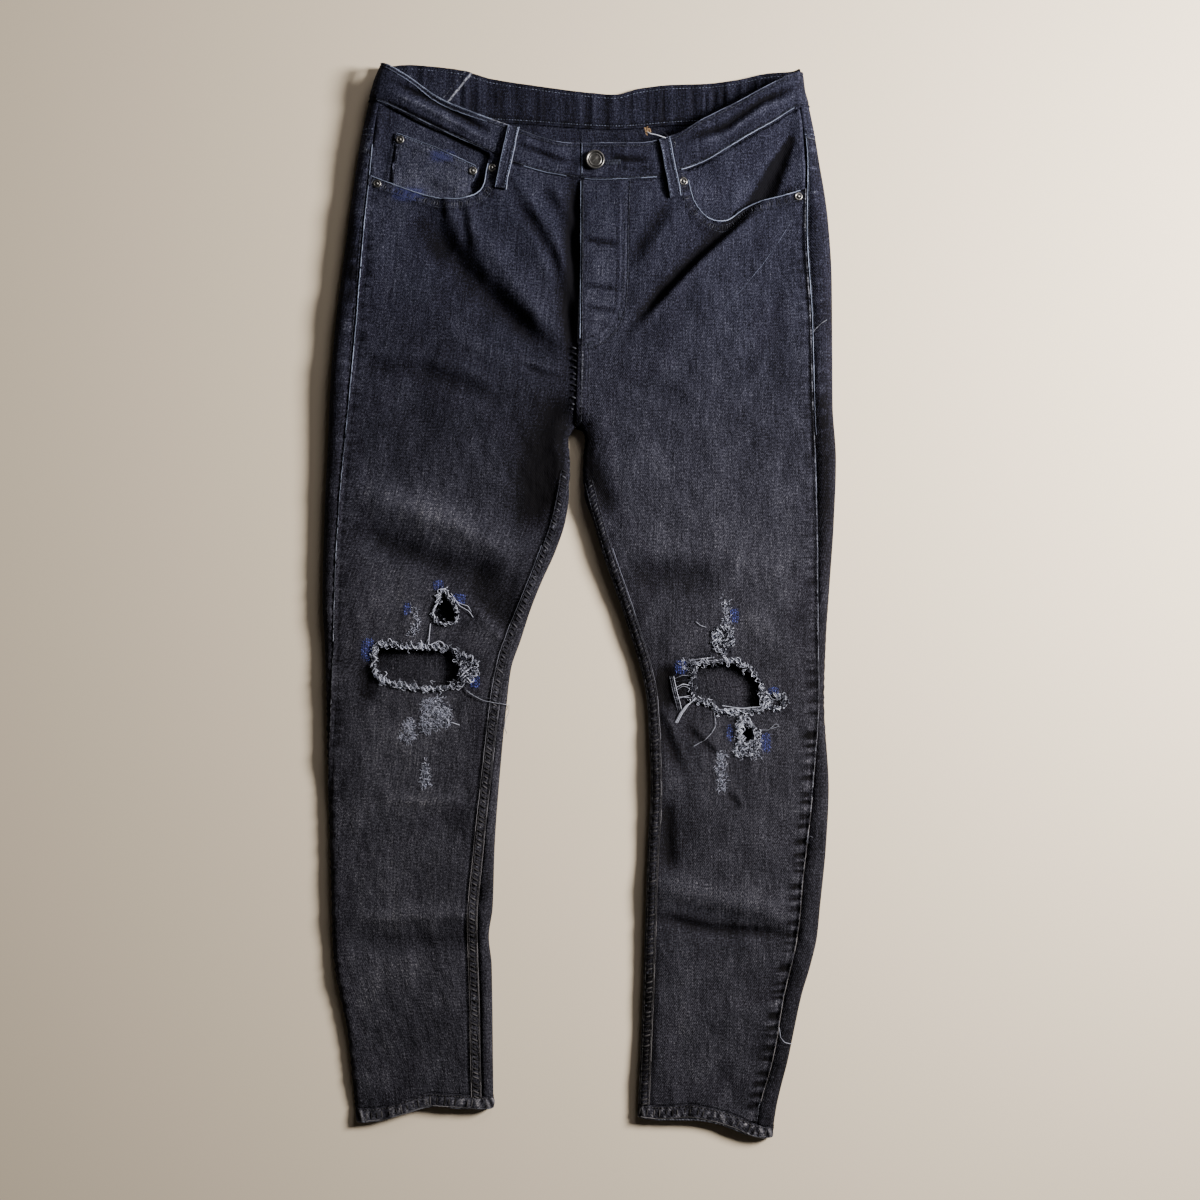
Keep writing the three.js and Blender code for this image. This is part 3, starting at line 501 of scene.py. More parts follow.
class Half:
    """One half of the garment as a flattened tube. u runs through a section of it: 0 to 1 across the top
    from the inner to the outer fold, 1 to 2 round the outer fold, 2 to 3 back along the bottom, and 3 to 4
    round the inner fold."""

    def __init__(self, side, outer, inner, outseam, inseam):
        self.side = side
        self.outer = curve(outer)
        self.inner = curve(inner)
        self.outseam = curve(outseam)
        self.inseam = curve(inseam)

    def radius(self, y):
        return upper_layer(y) * 0.5 + 2

    def outer_flat(self, y):
        return self.outer(y) - self.radius(y)

    def inner_flat(self, y):
        return np.where(y < CROTCH_Y, self.inner(y) + self.radius(y), self.side * centre_x(y) + 0.2)

    def first_mark(self, y):
        """The u of the line that goes on up from where the inner fold ends at the crotch."""
        begin = self.inner_flat(y)
        crotch = self.inner(CROTCH_Y) + self.radius(CROTCH_Y)
        mark = mix(crotch, begin + 12, smooth((y - CROTCH_Y) / 60))
        return np.where(y < CROTCH_Y, 0.0, (mark - begin) / (self.outer_flat(y) - begin))

    def fold(self, edge, inward, y, angle):
        flat = edge - inward * self.radius(y)
        across = flat + inward * self.radius(y) * np.sin(angle)
        top = top_z(self.side * flat, y)
        foot = bottom_z(self.side * flat, y)
        middle = mix(foot, top, 0.46)
        z = middle + np.cos(angle) * np.where(angle < np.pi / 2, top - middle, middle - foot)
        return np.stack([self.side * across, y, z], -1)

    def ring(self, y, u):
        v = np.where(u > 3, u - 4, u)
        inner_fold = self.fold(self.inner(y), -1, y, np.clip(-v, 0, 1) * np.pi)
        outer_fold = self.fold(self.outer(y), 1, y, np.clip(v - 1, 0, 1) * np.pi)
        x = self.side * mix(self.inner_flat(y), self.outer_flat(y), np.where(v <= 1, v, 3 - v))
        flat = np.stack([x, y, np.where(v <= 1, top_z(x, y), bottom_z(x, y))], -1)
        point = np.where((v < 0)[..., None], inner_fold, flat)
        return np.where(((v > 1) & (v < 2))[..., None], outer_fold, point)

    def u_of(self, y, across):
        """The u of a place on the upper layer, from its distance to the centre line."""
        radius = self.radius(y)
        outer_flat = self.outer_flat(y)
        inner_flat = self.inner_flat(y)

        def angle(along):
            beyond = np.pi / 2 + (along - radius) / radius
            return np.where(along < radius, np.arcsin(np.clip(along / radius, 0, 1)), beyond) / np.pi

        u = (across - inner_flat) / (outer_flat - inner_flat)
        u = np.where(across > outer_flat, 1 + angle(across - outer_flat), u)
        low = np.where(y < CROTCH_Y, -angle(inner_flat - across), 0)
        return np.where(across < inner_flat, low, u)

    def front_span(self, y):
        start = np.where(y < CROTCH_Y, self.inseam(y) + 0.2, self.inner_flat(y))
        return self.u_of(y, start), self.u_of(y, self.outseam(y) - 0.2)

    def back_span(self, y):
        end = np.where(y < CROTCH_Y, 4 + self.u_of(y, self.inseam(y) - 0.2), 3)
        return self.u_of(y, self.outseam(y) + 0.2), end


RIGHT = Half(-1, RIGHT_OUTER, RIGHT_INNER, RIGHT_OUTSEAM, RIGHT_INSEAM)
LEFT = Half(1, LEFT_OUTER, LEFT_INNER, LEFT_OUTSEAM, LEFT_INSEAM)


def place(x, y, lift):
    """Points on the upper layer at plan places, moved out by lift."""
    x = np.asarray(x, float)
    y = np.asarray(y, float)
    found = np.zeros(x.shape + (3,))
    for half in (RIGHT, LEFT):
        mine = (x < centre_x(y)) if half is RIGHT else (x >= centre_x(y))
        across = np.abs(np.where(mine, x, half.side * 100))
        across = np.where(half.side * x < 0, half.side * x, across)
        u = half.u_of(y, across)
        here = half.ring(y, u)
        along = half.ring(y + 1.0, u) - half.ring(y - 1.0, u)
        sideways = half.ring(y, u + 0.01) - half.ring(y, u - 0.01)
        normal = unit(np.cross(sideways, along) * half.side)
        found = np.where(mine[..., None], here + normal * np.asarray(lift)[..., None], found)
    return found


# ---- Mesh making --------------------------------------------------------------------------------
def make_mesh(name, points, faces, material, uv=None, values=None):
    """A piece from points in millimetres. values holds the numbers per point that its material reads."""
    mesh = bpy.data.meshes.new(name)
    mesh.vertices.add(len(points))
    mesh.vertices.foreach_set("co", (np.asarray(points) * MM).astype(np.float32).ravel())
    sides = faces.shape[1]
    mesh.loops.add(faces.size)
    mesh.loops.foreach_set("vertex_index", faces.astype(np.int32).ravel())
    mesh.polygons.add(len(faces))
    mesh.polygons.foreach_set("loop_start", np.arange(0, faces.size, sides, dtype=np.int32))
    mesh.polygons.foreach_set("loop_total", np.full(len(faces), sides, dtype=np.int32))
    mesh.update(calc_edges=True)
    if uv is not None:
        layer = mesh.uv_layers.new(name="weave")
        layer.data.foreach_set("uv", uv[faces.ravel()].astype(np.float32).ravel())
    for key, value in (values or {}).items():
        attribute = mesh.attributes.new(key, "FLOAT", "POINT")
        attribute.data.foreach_set("value", np.asarray(value, np.float32).ravel())
    mesh.polygons.foreach_set("use_smooth", np.full(len(faces), True))
    mesh.validate()
    piece = bpy.data.objects.new(name, mesh)
    bpy.context.scene.collection.objects.link(piece)
    mesh.materials.append(material)
    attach(piece, "root")
    return piece


def grid_faces(rows, columns, closed=False, flip=False):
    """The quads of a grid of points, row by row."""
    i, j = np.meshgrid(np.arange(rows - 1), np.arange(columns if closed else columns - 1), indexing="ij")
    a = i * columns + j
    b = i * columns + (j + 1) % columns
    quads = np.stack([a, b, b + columns, a + columns], -1).reshape(-1, 4)
    return quads[:, ::-1] if flip else quads


def thicken(piece, thickness):
    """Give a piece its thickness, inwards from its outer side."""
    shell = piece.modifiers.new("thickness", "SOLIDIFY")
    shell.thickness = thickness * MM
    shell.offset = -1
    shell.use_even_offset = False


def normals_of(grid, side):
    along = np.gradient(grid, axis=0)
    sideways = np.gradient(grid, axis=1)
    return unit(np.cross(sideways, along) * side)


def raised(grid, side, lift):
    """A grid of points moved out along its normals."""
    return grid + normals_of(grid, side) * lift[..., None]


def tubes(name, paths, radius, material, sides=5, tapered=True):
    """Many thin tubes as one mesh. paths is an array (tubes, points, 3)."""
    count, steps, _ = paths.shape
    along = unit(np.gradient(paths, axis=1))
    # not quite upright, so that no tube runs along it
    up = np.zeros_like(along)
    up[..., 2] = 1
    up[..., 0] = 0.05
    sideways = unit(np.cross(along, up))
    normal = np.cross(sideways, along)
    angle = np.arange(sides) * 2 * np.pi / sides
    size = np.full((count, steps), radius)
    if tapered:
        size[:, [0, -1]] *= 0.35
    ring = np.cos(angle)[:, None] * sideways[:, :, None] + np.sin(angle)[:, None] * normal[:, :, None]
    points = paths[:, :, None] + size[:, :, None, None] * ring
    one = grid_faces(steps, sides, closed=True)
    quads = (one[None] + np.arange(count)[:, None, None] * steps * sides).reshape(-1, 4)
    tone = np.random.default_rng(count).uniform(0, 1, count) ** 1.3
    values = {"tone": np.repeat(tone, steps * sides)}
    return make_mesh(name, points.reshape(-1, 3), quads, material, values=values)


# ---- Materials ----------------------------------------------------------------------------------
class Shader:
    """A material made node by node."""

    def __init__(self, name, **constants):
        self.material = bpy.data.materials.new(name)
        self.material.use_nodes = True
        self.tree = self.material.node_tree
        self.surface = self.tree.nodes["Principled BSDF"]
        for key, value in constants.items():
            self.surface.inputs[key.replace("_", " ")].default_value = value

    def node(self, kind, inputs=None, **settings):
        made = self.tree.nodes.new("ShaderNode" + kind)
        for key, value in settings.items():
            setattr(made, key, value)
        for key, value in (inputs or {}).items():
            self.put(made.inputs[key], value)
        return made

    def put(self, socket, value):
        if isinstance(value, bpy.types.NodeSocket):
            self.tree.links.new(value, socket)
        else:
            socket.default_value = value

    def math(self, operation, a, b=0.0, c=0.0):
        return self.node("Math", {0: a, 1: b, 2: c}, operation=operation).outputs[0]

    def scaled(self, vector, size):
        return self.node("VectorMath", {0: vector, 1: size}, operation="MULTIPLY").outputs[0]

    def noise(self, vector, detail=2.0, roughness=0.5):
        inputs = {"Vector": vector, "Scale": 1.0, "Detail": detail, "Roughness": roughness}
        return self.node("TexNoise", inputs).outputs["Fac"]

    def centred(self, value, strength):
        return self.math("MULTIPLY_ADD", value, strength, -0.5 * strength)

    def total(self, *values):
        found = values[0]
        for value in values[1:]:
            found = self.math("ADD", found, value)
        return found

    def attribute(self, name):
        return self.node("Attribute", attribute_name=name).outputs["Fac"]

    def place_in(self):
        return self.node("TexCoord").outputs["Object"]

    def towards_waist(self):
        """A place's Y, from about -0.55 at the hems to 0.55 at the waist."""
        return self.node("SeparateXYZ", {"Vector": self.place_in()}).outputs["Y"]

    def ramp(self, value, stops):
        made = self.node("ValToRGB", {"Fac": value})
        elements = made.color_ramp.elements
        while len(elements) < len(stops):
            elements.new(0.5)
        for element, (position, colour) in zip(elements, stops):
            element.position = position
            element.color = (*colour, 1)
        return made.outputs["Color"]

    def blend(self, factor, a, b):
        made = self.node("Mix", data_type="RGBA")
        self.put(made.inputs["Factor"], factor)
        self.put(made.inputs[6], a)
        self.put(made.inputs[7], b)
        return made.outputs[2]

    def step(self, value, low, high):
        inputs = {"Value": value, "From Min": low, "From Max": high}
        return self.node("MapRange", inputs, interpolation_type="SMOOTHSTEP").outputs["Result"]

    def finish(self, colour, roughness, height, distance):
        self.put(self.surface.inputs["Base Color"], colour)
        self.put(self.surface.inputs["Roughness"], roughness)
        bump = self.node("Bump", {"Height": height, "Strength": 1.0, "Distance": distance})
        self.put(self.surface.inputs["Normal"], bump.outputs["Normal"])
        return self.material


# The dye from dark to light, with a painted tint of the light: greyer under the warm light on the legs,
# bluer under the cool light at the hips.
WARM_LIT_DYE = [(0.0, (0.003, 0.003, 0.0041)), (0.3, (0.0157, 0.0162, 0.0246)), (0.6, (0.0535, 0.056, 0.0755)),
            (1.0, (0.27, 0.275, 0.315))]
COOL_LIT_DYE = [(0.0, (0.0023, 0.0025, 0.0048)), (0.3, (0.0134, 0.0151, 0.032)),
             (0.6, (0.0485, 0.0545, 0.091)), (1.0, (0.245, 0.27, 0.355))]


def denim(name, level):
    """Washed-out black denim: slubs along the warp, a mottled grain, fades with painted light and shade, a
    painted cool tint towards the waist, and whitish worn edges.
    """
    cloth = Shader(name, Specular_IOR_Level=0.07)
    uv = cloth.node("UVMap", uv_map="weave").outputs["UV"]
    slub = cloth.noise(cloth.scaled(uv, (58, 4, 1)))
    slub_wide = cloth.noise(cloth.scaled(uv, (22, 1.4, 1)))
    weft = cloth.noise(cloth.scaled(uv, (8, 60, 1)), 1.0)
    grain = cloth.noise(cloth.scaled(uv, (60, 52, 1)), 3.0, 0.8)
    mottle = cloth.noise(cloth.scaled(uv, (4, 3, 1)), 3.0)
    crumple = cloth.noise(cloth.scaled(uv, (11, 8, 1)), 3.0)
    ribs = {"Vector": cloth.scaled(uv, (100, 62, 1)), "Scale": 0.32, "Distortion": 0.6}
    twill = cloth.node("TexWave", ribs, bands_direction="DIAGONAL").outputs["Fac"]
    tone = cloth.total(cloth.attribute("fade_and_shade"), level, cloth.centred(slub, 0.42),
                       cloth.centred(slub_wide, 0.13), cloth.centred(weft, 0.25),
                       cloth.centred(grain, 1.85), cloth.centred(mottle, 0.22), cloth.centred(twill, 0.05))
    # a painted light tint: the cool-lit ramp towards the waist, the warm-lit one towards the hems
    cool_lit = cloth.step(cloth.towards_waist(), -0.12, 0.5)
    colour = cloth.blend(cool_lit, cloth.ramp(tone, WARM_LIT_DYE), cloth.ramp(tone, COOL_LIT_DYE))
    rubbed = cloth.total(cloth.attribute("wear"), cloth.centred(grain, 0.35), cloth.centred(weft, 0.25))
    worn = cloth.step(rubbed, 0.62, 0.95)
    colour = cloth.blend(worn, colour, (0.25, 0.275, 0.36, 1))
    mended = cloth.step(cloth.total(cloth.attribute("darn"), cloth.centred(grain, 2.4)), 0.35, 0.85)
    colour = cloth.blend(cloth.math("MULTIPLY", mended, 0.6), colour, (0.03, 0.036, 0.13, 1))
    height = cloth.total(cloth.centred(slub, 0.5), cloth.centred(grain, 0.7), cloth.centred(twill, 0.25),
                         cloth.centred(crumple, 3.2))
    return cloth.finish(colour, cloth.total(0.86, cloth.centred(grain, 0.1)), height, 0.0006)


def warm_lit_tint(colour):
    """The same colour with most of its blue taken out: a painted tint of the warmer light on the lower
    legs.
    """
    middle = (colour[0] + colour[1]) / 2
    return (middle, middle, 1.12 * middle)


def thread(name, light, dark, warm_tinted=False):
    """A yarn whose threads differ in tone. A warm-tinted one is greyer towards the hems, a painted tint of
    the warmer light there.
    """
    yarn = Shader(name, Specular_IOR_Level=0.1)
    fibre = yarn.noise(yarn.scaled(yarn.place_in(), (900, 900, 900)), 3.0)
    soil = yarn.noise(yarn.scaled(yarn.place_in(), (260, 260, 260)))
    tone = yarn.total(yarn.attribute("tone"), yarn.centred(fibre, 0.6), yarn.centred(soil, 0.5))
    colour = yarn.ramp(tone, [(0.15, dark), (0.85, light)])
    if warm_tinted:
        warm_lit = yarn.ramp(tone, [(0.15, warm_lit_tint(dark)), (0.85, warm_lit_tint(light))])
        colour = yarn.blend(yarn.step(yarn.towards_waist(), -0.38, 0.36), warm_lit, colour)
    return yarn.finish(colour, 0.8, fibre, 0.0002)


def nickel(name):
    """Darkened nickel, brighter on its edges."""
    metal = Shader(name, Metallic=1.0)
    scratch = metal.noise(metal.scaled(metal.place_in(), (500, 500, 500)), 5.0, 0.65)
    tarnish = metal.noise(metal.scaled(metal.place_in(), (140, 140, 140)), 3.0)
    edge = metal.node("NewGeometry").outputs["Pointiness"]
    tone = metal.total(metal.centred(tarnish, 0.7), metal.centred(scratch, 0.3), metal.centred(edge, 3.0),
                       0.5)
    colour = metal.ramp(tone, [(0.1, (0.02016, 0.02016, 0.021)), (0.55, (0.1554, 0.1596, 0.168)),
                               (1.0, (0.336, 0.3444, 0.3612))])
    return metal.finish(colour, metal.total(0.36, metal.centred(scratch, 0.25)), scratch, 0.00004)


DENIM = denim("black_denim", 0.27)
INNER_DENIM = denim("inner_denim", 0.24)
SEAM_THREAD = thread("seam_thread", (0.046, 0.054, 0.088), (0.011, 0.013, 0.022), warm_tinted=True)
WORN_THREAD = thread("worn_thread", (0.2, 0.245, 0.39), (0.06, 0.072, 0.118), warm_tinted=True)
PUCKER = thread("puckered_cloth", (0.06, 0.066, 0.09), (0.012, 0.013, 0.02), warm_tinted=True)
DIM_THREAD = thread("dim_thread", (0.15, 0.178, 0.285), (0.04, 0.048, 0.078), warm_tinted=True)
MESH_THREAD = thread("bared_thread", (0.5, 0.55, 0.74), (0.018, 0.021, 0.036))
WORN_EDGE = thread("worn_edge", (0.25, 0.305, 0.47), (0.12, 0.147, 0.23), warm_tinted=True)
FRAY_THREAD = thread("fray_thread", (0.6, 0.66, 0.86), (0.01, 0.011, 0.02))
BLUE_THREAD = thread("mending_thread", (0.1, 0.13, 0.52), (0.02, 0.026, 0.11))
TAN_THREAD = thread("tan_canvas", (0.32, 0.22, 0.13), (0.12, 0.08, 0.05))
BUTTON_METAL = nickel("antique_nickel")
RIVET_METAL = nickel("rivet_nickel")


# ---- Cloth pieces -------------------------------------------------------------------------------
# Lines where the dye is rubbed off: the line, its strength, and how wide the rubbing reaches.
WORN_LINES = [
    ([(191, 388), (184, 370), (176, 352), (168, 341)], 0.55, 2.5), ([(43, 423), (42, 345)], 0.45, 7.0),
]
WORN_LINES += [(tear + tear[:1], 0.75, 4.5) for tear in TEARS]
# Mended spots: x, y, half width, half height. The last two are on the right pocket.
DARNS = [
    (-144, 17, 6, 6), (-123, 3, 8, 6), (-176, -7, 4, 7), (-216, -49, 8, 13), (-107, -81, 6, 8),
    (159, -14, 5, 9), (104, -67, 7, 8), (199, -91, 6, 4), (154, -134, 3, 9), (191, -144, 6, 11),
    (-174, 415, 16, 7), (-139, 454, 12, 6),
]


def wear_at(x, y):
    """How worn the cloth is at a place: 1 on a rubbed line, falling straight to 0 beside it."""
    worn = np.zeros(x.shape)
    for line, strength, reach in WORN_LINES:
        points = np.asarray(line, float)
        low = points.min(0) - reach
        high = points.max(0) + reach
        near = (x > low[0]) & (x < high[0]) & (y > low[1]) & (y < high[1])
        if near.any():
            distance, _, _ = to_line(points.tolist(), x[near], y[near])
            worn[near] = np.maximum(worn[near], strength * np.clip(1 - distance / reach, 0, 1))
    return worn


def darn_at(x, y):
    """How much mending there is at a place. The pockets' darns are denser than the knees'."""
    amount = np.zeros(x.shape)
    for cx, cy, wide, tall in DARNS:
        away = (np.abs((x - cx) / wide) ** 4 + np.abs((y - cy) / tall) ** 4) ** 0.25
        strength = 1.0 if cy > 300 else 0.6
        amount = np.maximum(amount, strength * np.clip(1.5 - away, 0, 1))
    return amount


def knee_light(x, y):
    """How much painted light the lining gets where it shows through the torn knees, from 0 to 1."""
    amount = np.zeros(x.shape)
    for cx, cy, wide, tall, _ in KNEES:
        amount = np.maximum(amount, np.exp(-(((x - cx) / wide) ** 4 + ((y - cy) / tall / 1.6) ** 4)))
    return amount


def edge_arcs(grid):
    """How far each point of a grid is, over the cloth, from its row's start and from its end."""
    steps = np.linalg.norm(np.diff(grid, axis=1), axis=-1)
    arc = np.concatenate([np.zeros((len(grid), 1)), np.cumsum(steps, axis=1)], axis=1)
    return arc, arc[:, -1:] - arc


def cloth_piece(name, grid, side, node, thickness, extra_wear, cuts=(), over=None, fade_and_shade=0.0):
    """A piece of cloth from a grid of outer points. over tells which points are on the upper side."""
    rows, columns, _ = grid.shape
    arc, _ = edge_arcs(grid)
    if rows > 2 * WEAVE_REACH:
        window = 2 * WEAVE_REACH + 1
        spread_out = np.pad(arc, ((WEAVE_REACH, WEAVE_REACH), (0, 0)), mode="edge")
        total = np.cumsum(np.vstack([np.zeros((1, columns)), spread_out]), axis=0)
        arc = (total[window:] - total[:-window]) / window
    middle = columns // 2
    uv = np.stack([arc - arc[:, middle:middle + 1] + grid[:, middle:middle + 1, 0], grid[..., 1]], -1) / 100
    points = grid.reshape(-1, 3).copy()
    above = np.ones(len(points), bool) if over is None else over.reshape(-1)
    faces = grid_faces(rows, columns, flip=side < 0)
    for outline in cuts:
        faces = cut_out(points, faces, outline, above)
    x = points[:, 0]
    y = points[:, 1]
    # the underside is a little darker, with painted light on it where it shows through the torn knees
    values = {
        "fade_and_shade": np.where(above, sample(FADE_AND_SHADE, x, y), -0.05 + 0.09 * knee_light(x, y)) + np.ravel(fade_and_shade),
        "wear": np.maximum(np.where(above, wear_at(x, y), 0), extra_wear.reshape(-1)),
        "darn": np.where(above, darn_at(x, y), 0),
    }
    piece = make_mesh(name, points, faces, DENIM, uv.reshape(-1, 2), values)
    thicken(piece, thickness)
    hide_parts(node)
    return piece


def cut_out(points, faces, outline, above):
    """Remove the faces inside an outline, and pull the points beside it onto it."""
    edge = outline + outline[:1]
    x = points[:, 0]
    y = points[:, 1]
    distance, _, _ = to_line(edge, x, y)
    near = np.flatnonzero(above & (distance < 0.62 * CELL))
    for (ax, ay), (bx, by) in zip(edge[:-1], edge[1:]):
        length = math.hypot(bx - ax, by - ay)
        t = np.clip(((x[near] - ax) * (bx - ax) + (y[near] - ay) * (by - ay)) / length**2, 0, 1)
        px = ax + t * (bx - ax)
        py = ay + t * (by - ay)
        mine = np.abs(np.hypot(x[near] - px, y[near] - py) - distance[near]) < 1e-6
        points[near[mine], 0] = px[mine]
        points[near[mine], 1] = py[mine]
    centre = points[faces].mean(1)
    lost = inside(outline, centre[:, 0], centre[:, 1]) & above[faces].all(1)
    return faces[~lost]


def ragged(outline, size, seed):
    """A tear's outline with an uneven edge."""
    points, along = resample(outline + outline[:1], 2.2)
    sway = np.random.default_rng(seed).normal(size=len(points))
    sway = (np.roll(sway, 1) + 2 * sway + np.roll(sway, -1)) / 2.5
    moved = points + size * sway[:, None] * left_of(along)
    return [tuple(p) for p in moved[:-1].tolist()]


def spaced(low, high, step):
    """Even places from low to high, about a step apart."""
    return np.linspace(low, high, max(2, int(round((high - low) / step)) + 1))


def level_rows(half, low_seam, high_seam, spans, columns):
    """A grid whose rows run from one cross seam to another. columns gives each column's u, and how many."""
    low = curve(low_seam)
    high = curve(high_seam)
    at, count = columns
    share = np.linspace(0, 1, PANEL_ROWS)[:, None]
    y = np.broadcast_to(mix(spans[0], spans[1], share), (len(share), count)).copy()
    for _ in range(ROUNDS):
        grid = half.ring(y, at(y))
        y = mix(low(grid[..., 0]), high(grid[..., 0]), share)
    return half.ring(y, at(y)), at(y)


def spread(marks, counts):
    """Columns that run from mark to mark, with so many faces between each two. A mark depends on y."""
    part = np.concatenate([np.full(n, k) for k, n in enumerate(counts)] + [[len(counts) - 1]])
    share = np.concatenate([np.arange(n) / n for n in counts] + [[1.0]])

    def at(y):
        found = np.stack([np.broadcast_to(mark(y), y.shape) for mark in marks])
        low = np.take_along_axis(found, np.broadcast_to(part, y.shape)[None], 0)[0]
        high = np.take_along_axis(found, np.broadcast_to(part + 1, y.shape)[None], 0)[0]
        return mix(low, high, share)

    return at, len(part)


def front_columns(half):
    def start(y):
        return half.front_span(y)[0]

    def end(y):
        return half.front_span(y)[1]

    def first(y):
        return np.maximum(half.first_mark(y), start(y) + 0.045)

    def last(y):
        return np.minimum(1.0, end(y) - 0.045)

    return spread([start, first, last, end], [8, int(215 / CELL), 8])


def back_columns(half):
    def start(y):
        return half.back_span(y)[0]

    def foot(y):
        return np.where(y < CROTCH_Y, 3.0, 3.0 - half.first_mark(y))

    def end(y):
        return half.back_span(y)[1]

    return spread([start, lambda y: 2.0, foot, end], [16, 26, 14])


def rope(y, period, seed):
    """Uneven puckers along a seam, from about -1 to 1."""
    wander = np.random.default_rng(seed).normal(size=400)
    wander = np.convolve(wander, np.ones(5) / 2.2, "same")
    phase = np.interp(y, np.linspace(-600, 600, 400), wander)
    return np.sin(2 * np.pi * y / period + 1.6 * phase) * (0.75 + 0.25 * np.sin(y / 23.0 + phase))


def fly_form(x, y, start, seed):
    """The fly and the front seam below it: their rise, their shade and how worn they are."""
    edge, _, _ = to_line(FLY_STITCH, x, y)
    fly = inside([(-4, 436), *FLY_STITCH, (-4, 261)], x, y)
    lift = np.where(fly, 0.5 + 0.9 * smooth(edge / 3), 0.5 * smooth((1.5 - edge) / 1.5))
    lift += 0.4 * rope(y, 11, seed + 2) * bell(edge - 3, 4) * fly
    below = smooth((FLY_FOOT - y) / 8) * smooth((y - CROTCH_Y) / 6)
    lift += below * (1.3 * smooth((12 - start) / 1.5) + 0.5 * rope(y, 9, seed + 4) * bell(start - 6, 5))
    sewn = bell(edge, 1.1) + bell(edge - 5, 1.1)
    shade = (0.1 * bell(edge - 2.5, 1.2) - 0.16 * sewn) * (y > 250)
    edge_wear = 0.92 * np.clip(1 - start / 4, 0, 1) * (y > FLY_FOOT)
    wear = np.maximum(edge_wear, below * 0.74 * bell(start - 5.5, 3))
    return lift, shade, wear


def front_panel(half, name, node, low_seam, cuts, mouth, seed):
    """A front leg. start and end are the distances from its inner edge and from its side seam."""
    grid, _ = level_rows(half, low_seam, FRONT_SEAM, (-520, 430), front_columns(half))
    start, end = edge_arcs(grid)
    x = grid[..., 0]
    y = grid[..., 1]
    on_leg = y < CROTCH_Y
    # the felled inseam
    felled = smooth((11 - start) / 1.6) * on_leg
    knots = rope(y, 8.0, seed)
    lift = felled * (1.0 + 0.6 * knots * bell(start - 5.5, 4.5)) - 0.7 * bell(start - 13, 1.8) * on_leg
    shade = 0.06 * knots * felled - 0.1 * bell(start - 12.5, 1.6) * on_leg
    wear = (0.5 + 0.3 * knots) * bell(start - 5.5, 2.6) * on_leg
    # the side seam, which draws the cloth up more towards the hem
    pull = rope(y, 12.0, seed + 1)
    drawn = 0.4 + (1.2 if half is LEFT else 0.3) * smooth((-40 - y) / 120)
    lift += bell(end, 1.5) + drawn * pull * bell(end, 9) - 0.5 * bell(end - 4, 1.6)
    shade += 0.42 * drawn * np.minimum(pull, 0.2) * bell(end - 6, 6)
    wear = np.maximum(wear, np.clip(1 - end / 5.5, 0, 1) * (0.7 + 0.09 * rope(y, 31, seed + 3)))
    # the pocket mouth's turned-in hem
    gather, _, run = to_line(mouth, x, y)
    creases = rope(run, 9.0, seed + 5)
    lift += 0.55 * creases * bell(gather - 6, 4.5) + 0.6 * smooth((11.5 - gather) / 2)
    shade += 0.2 * np.minimum(creases, 0.4) * bell(gather - 6, 4.5)
    shade -= 0.12 * bell(gather - 10.5, 1.6) + 0.1 * bell(gather - 3.2, 1.2)
    if half is LEFT:
        fly_lift, fly_shade, fly_wear = fly_form(x, y, start, seed)
        lift += fly_lift
        shade += fly_shade - 0.3 * bell(end - 1.2, 1.3) * (y > 150)
        wear = np.maximum(wear, fly_wear)
    grid = raised(grid, half.side, lift)
    return cloth_piece(name, grid, half.side, node, CLOTH, wear, cuts=cuts, fade_and_shade=shade)


def back_panel(half, name, node, low_seam, seed):
    grid, u = level_rows(half, low_seam, YOKE, (-520, 460), back_columns(half))
    start, end = edge_arcs(grid)
    y = grid[..., 1]
    over = (u < 1.5) | (u > 3.5)
    lift = 0.75 * rope(y, 10.0, seed) * bell(start - 5, 7) * over * (u < 2)
    lift += 0.35 * rope(y, 8.0, seed + 1) * bell(end, 6) * over * (y < CROTCH_Y)
    lift += 0.5 * bell(start - 5, 2) * (u < 1.5)
    grid = raised(grid, half.side, lift)
    wear = 0.45 * np.clip(1 - start / 5, 0, 1) * over
    rubbed = np.clip(rope(y, 19.0, seed + 7) - 0.2, 0, 1) * bell(start - 8, 5)
    rubbed = rubbed * (u < 2) * smooth((y - 130) / 60)
    shade = (-0.08 if half is LEFT else -0.03) * (u < 2) + 0.5 * rubbed
    return cloth_piece(name, grid, half.side, node, CLOTH, wear, over=over, fade_and_shade=shade)


def yoke_panel(half, name, node):
    share = np.linspace(0, 1, 22)[:, None]
    columns, count = back_columns(half)
    y = np.broadcast_to(mix(470.0, 505.0, share), (len(share), count)).copy()
    for _ in range(ROUNDS):
        u = columns(y)
        grid = half.ring(y, u)
        x = grid[..., 0]
        high = np.where(u < 1.6, curve(FRONT_SEAM)(x), curve(BACK_SEAM)(x))
        y = mix(curve(YOKE)(x) + 0.3, high - 0.2, share)
    grid = half.ring(y, u)
    over = u < 1.5
    low_edge = np.clip(1 - (grid[..., 1] - curve(YOKE)(grid[..., 0])) / 5, 0, 1)
    return cloth_piece(name, grid, half.side, node, CLOTH, 0.8 * low_edge * over, over=over, fade_and_shade=-0.02)


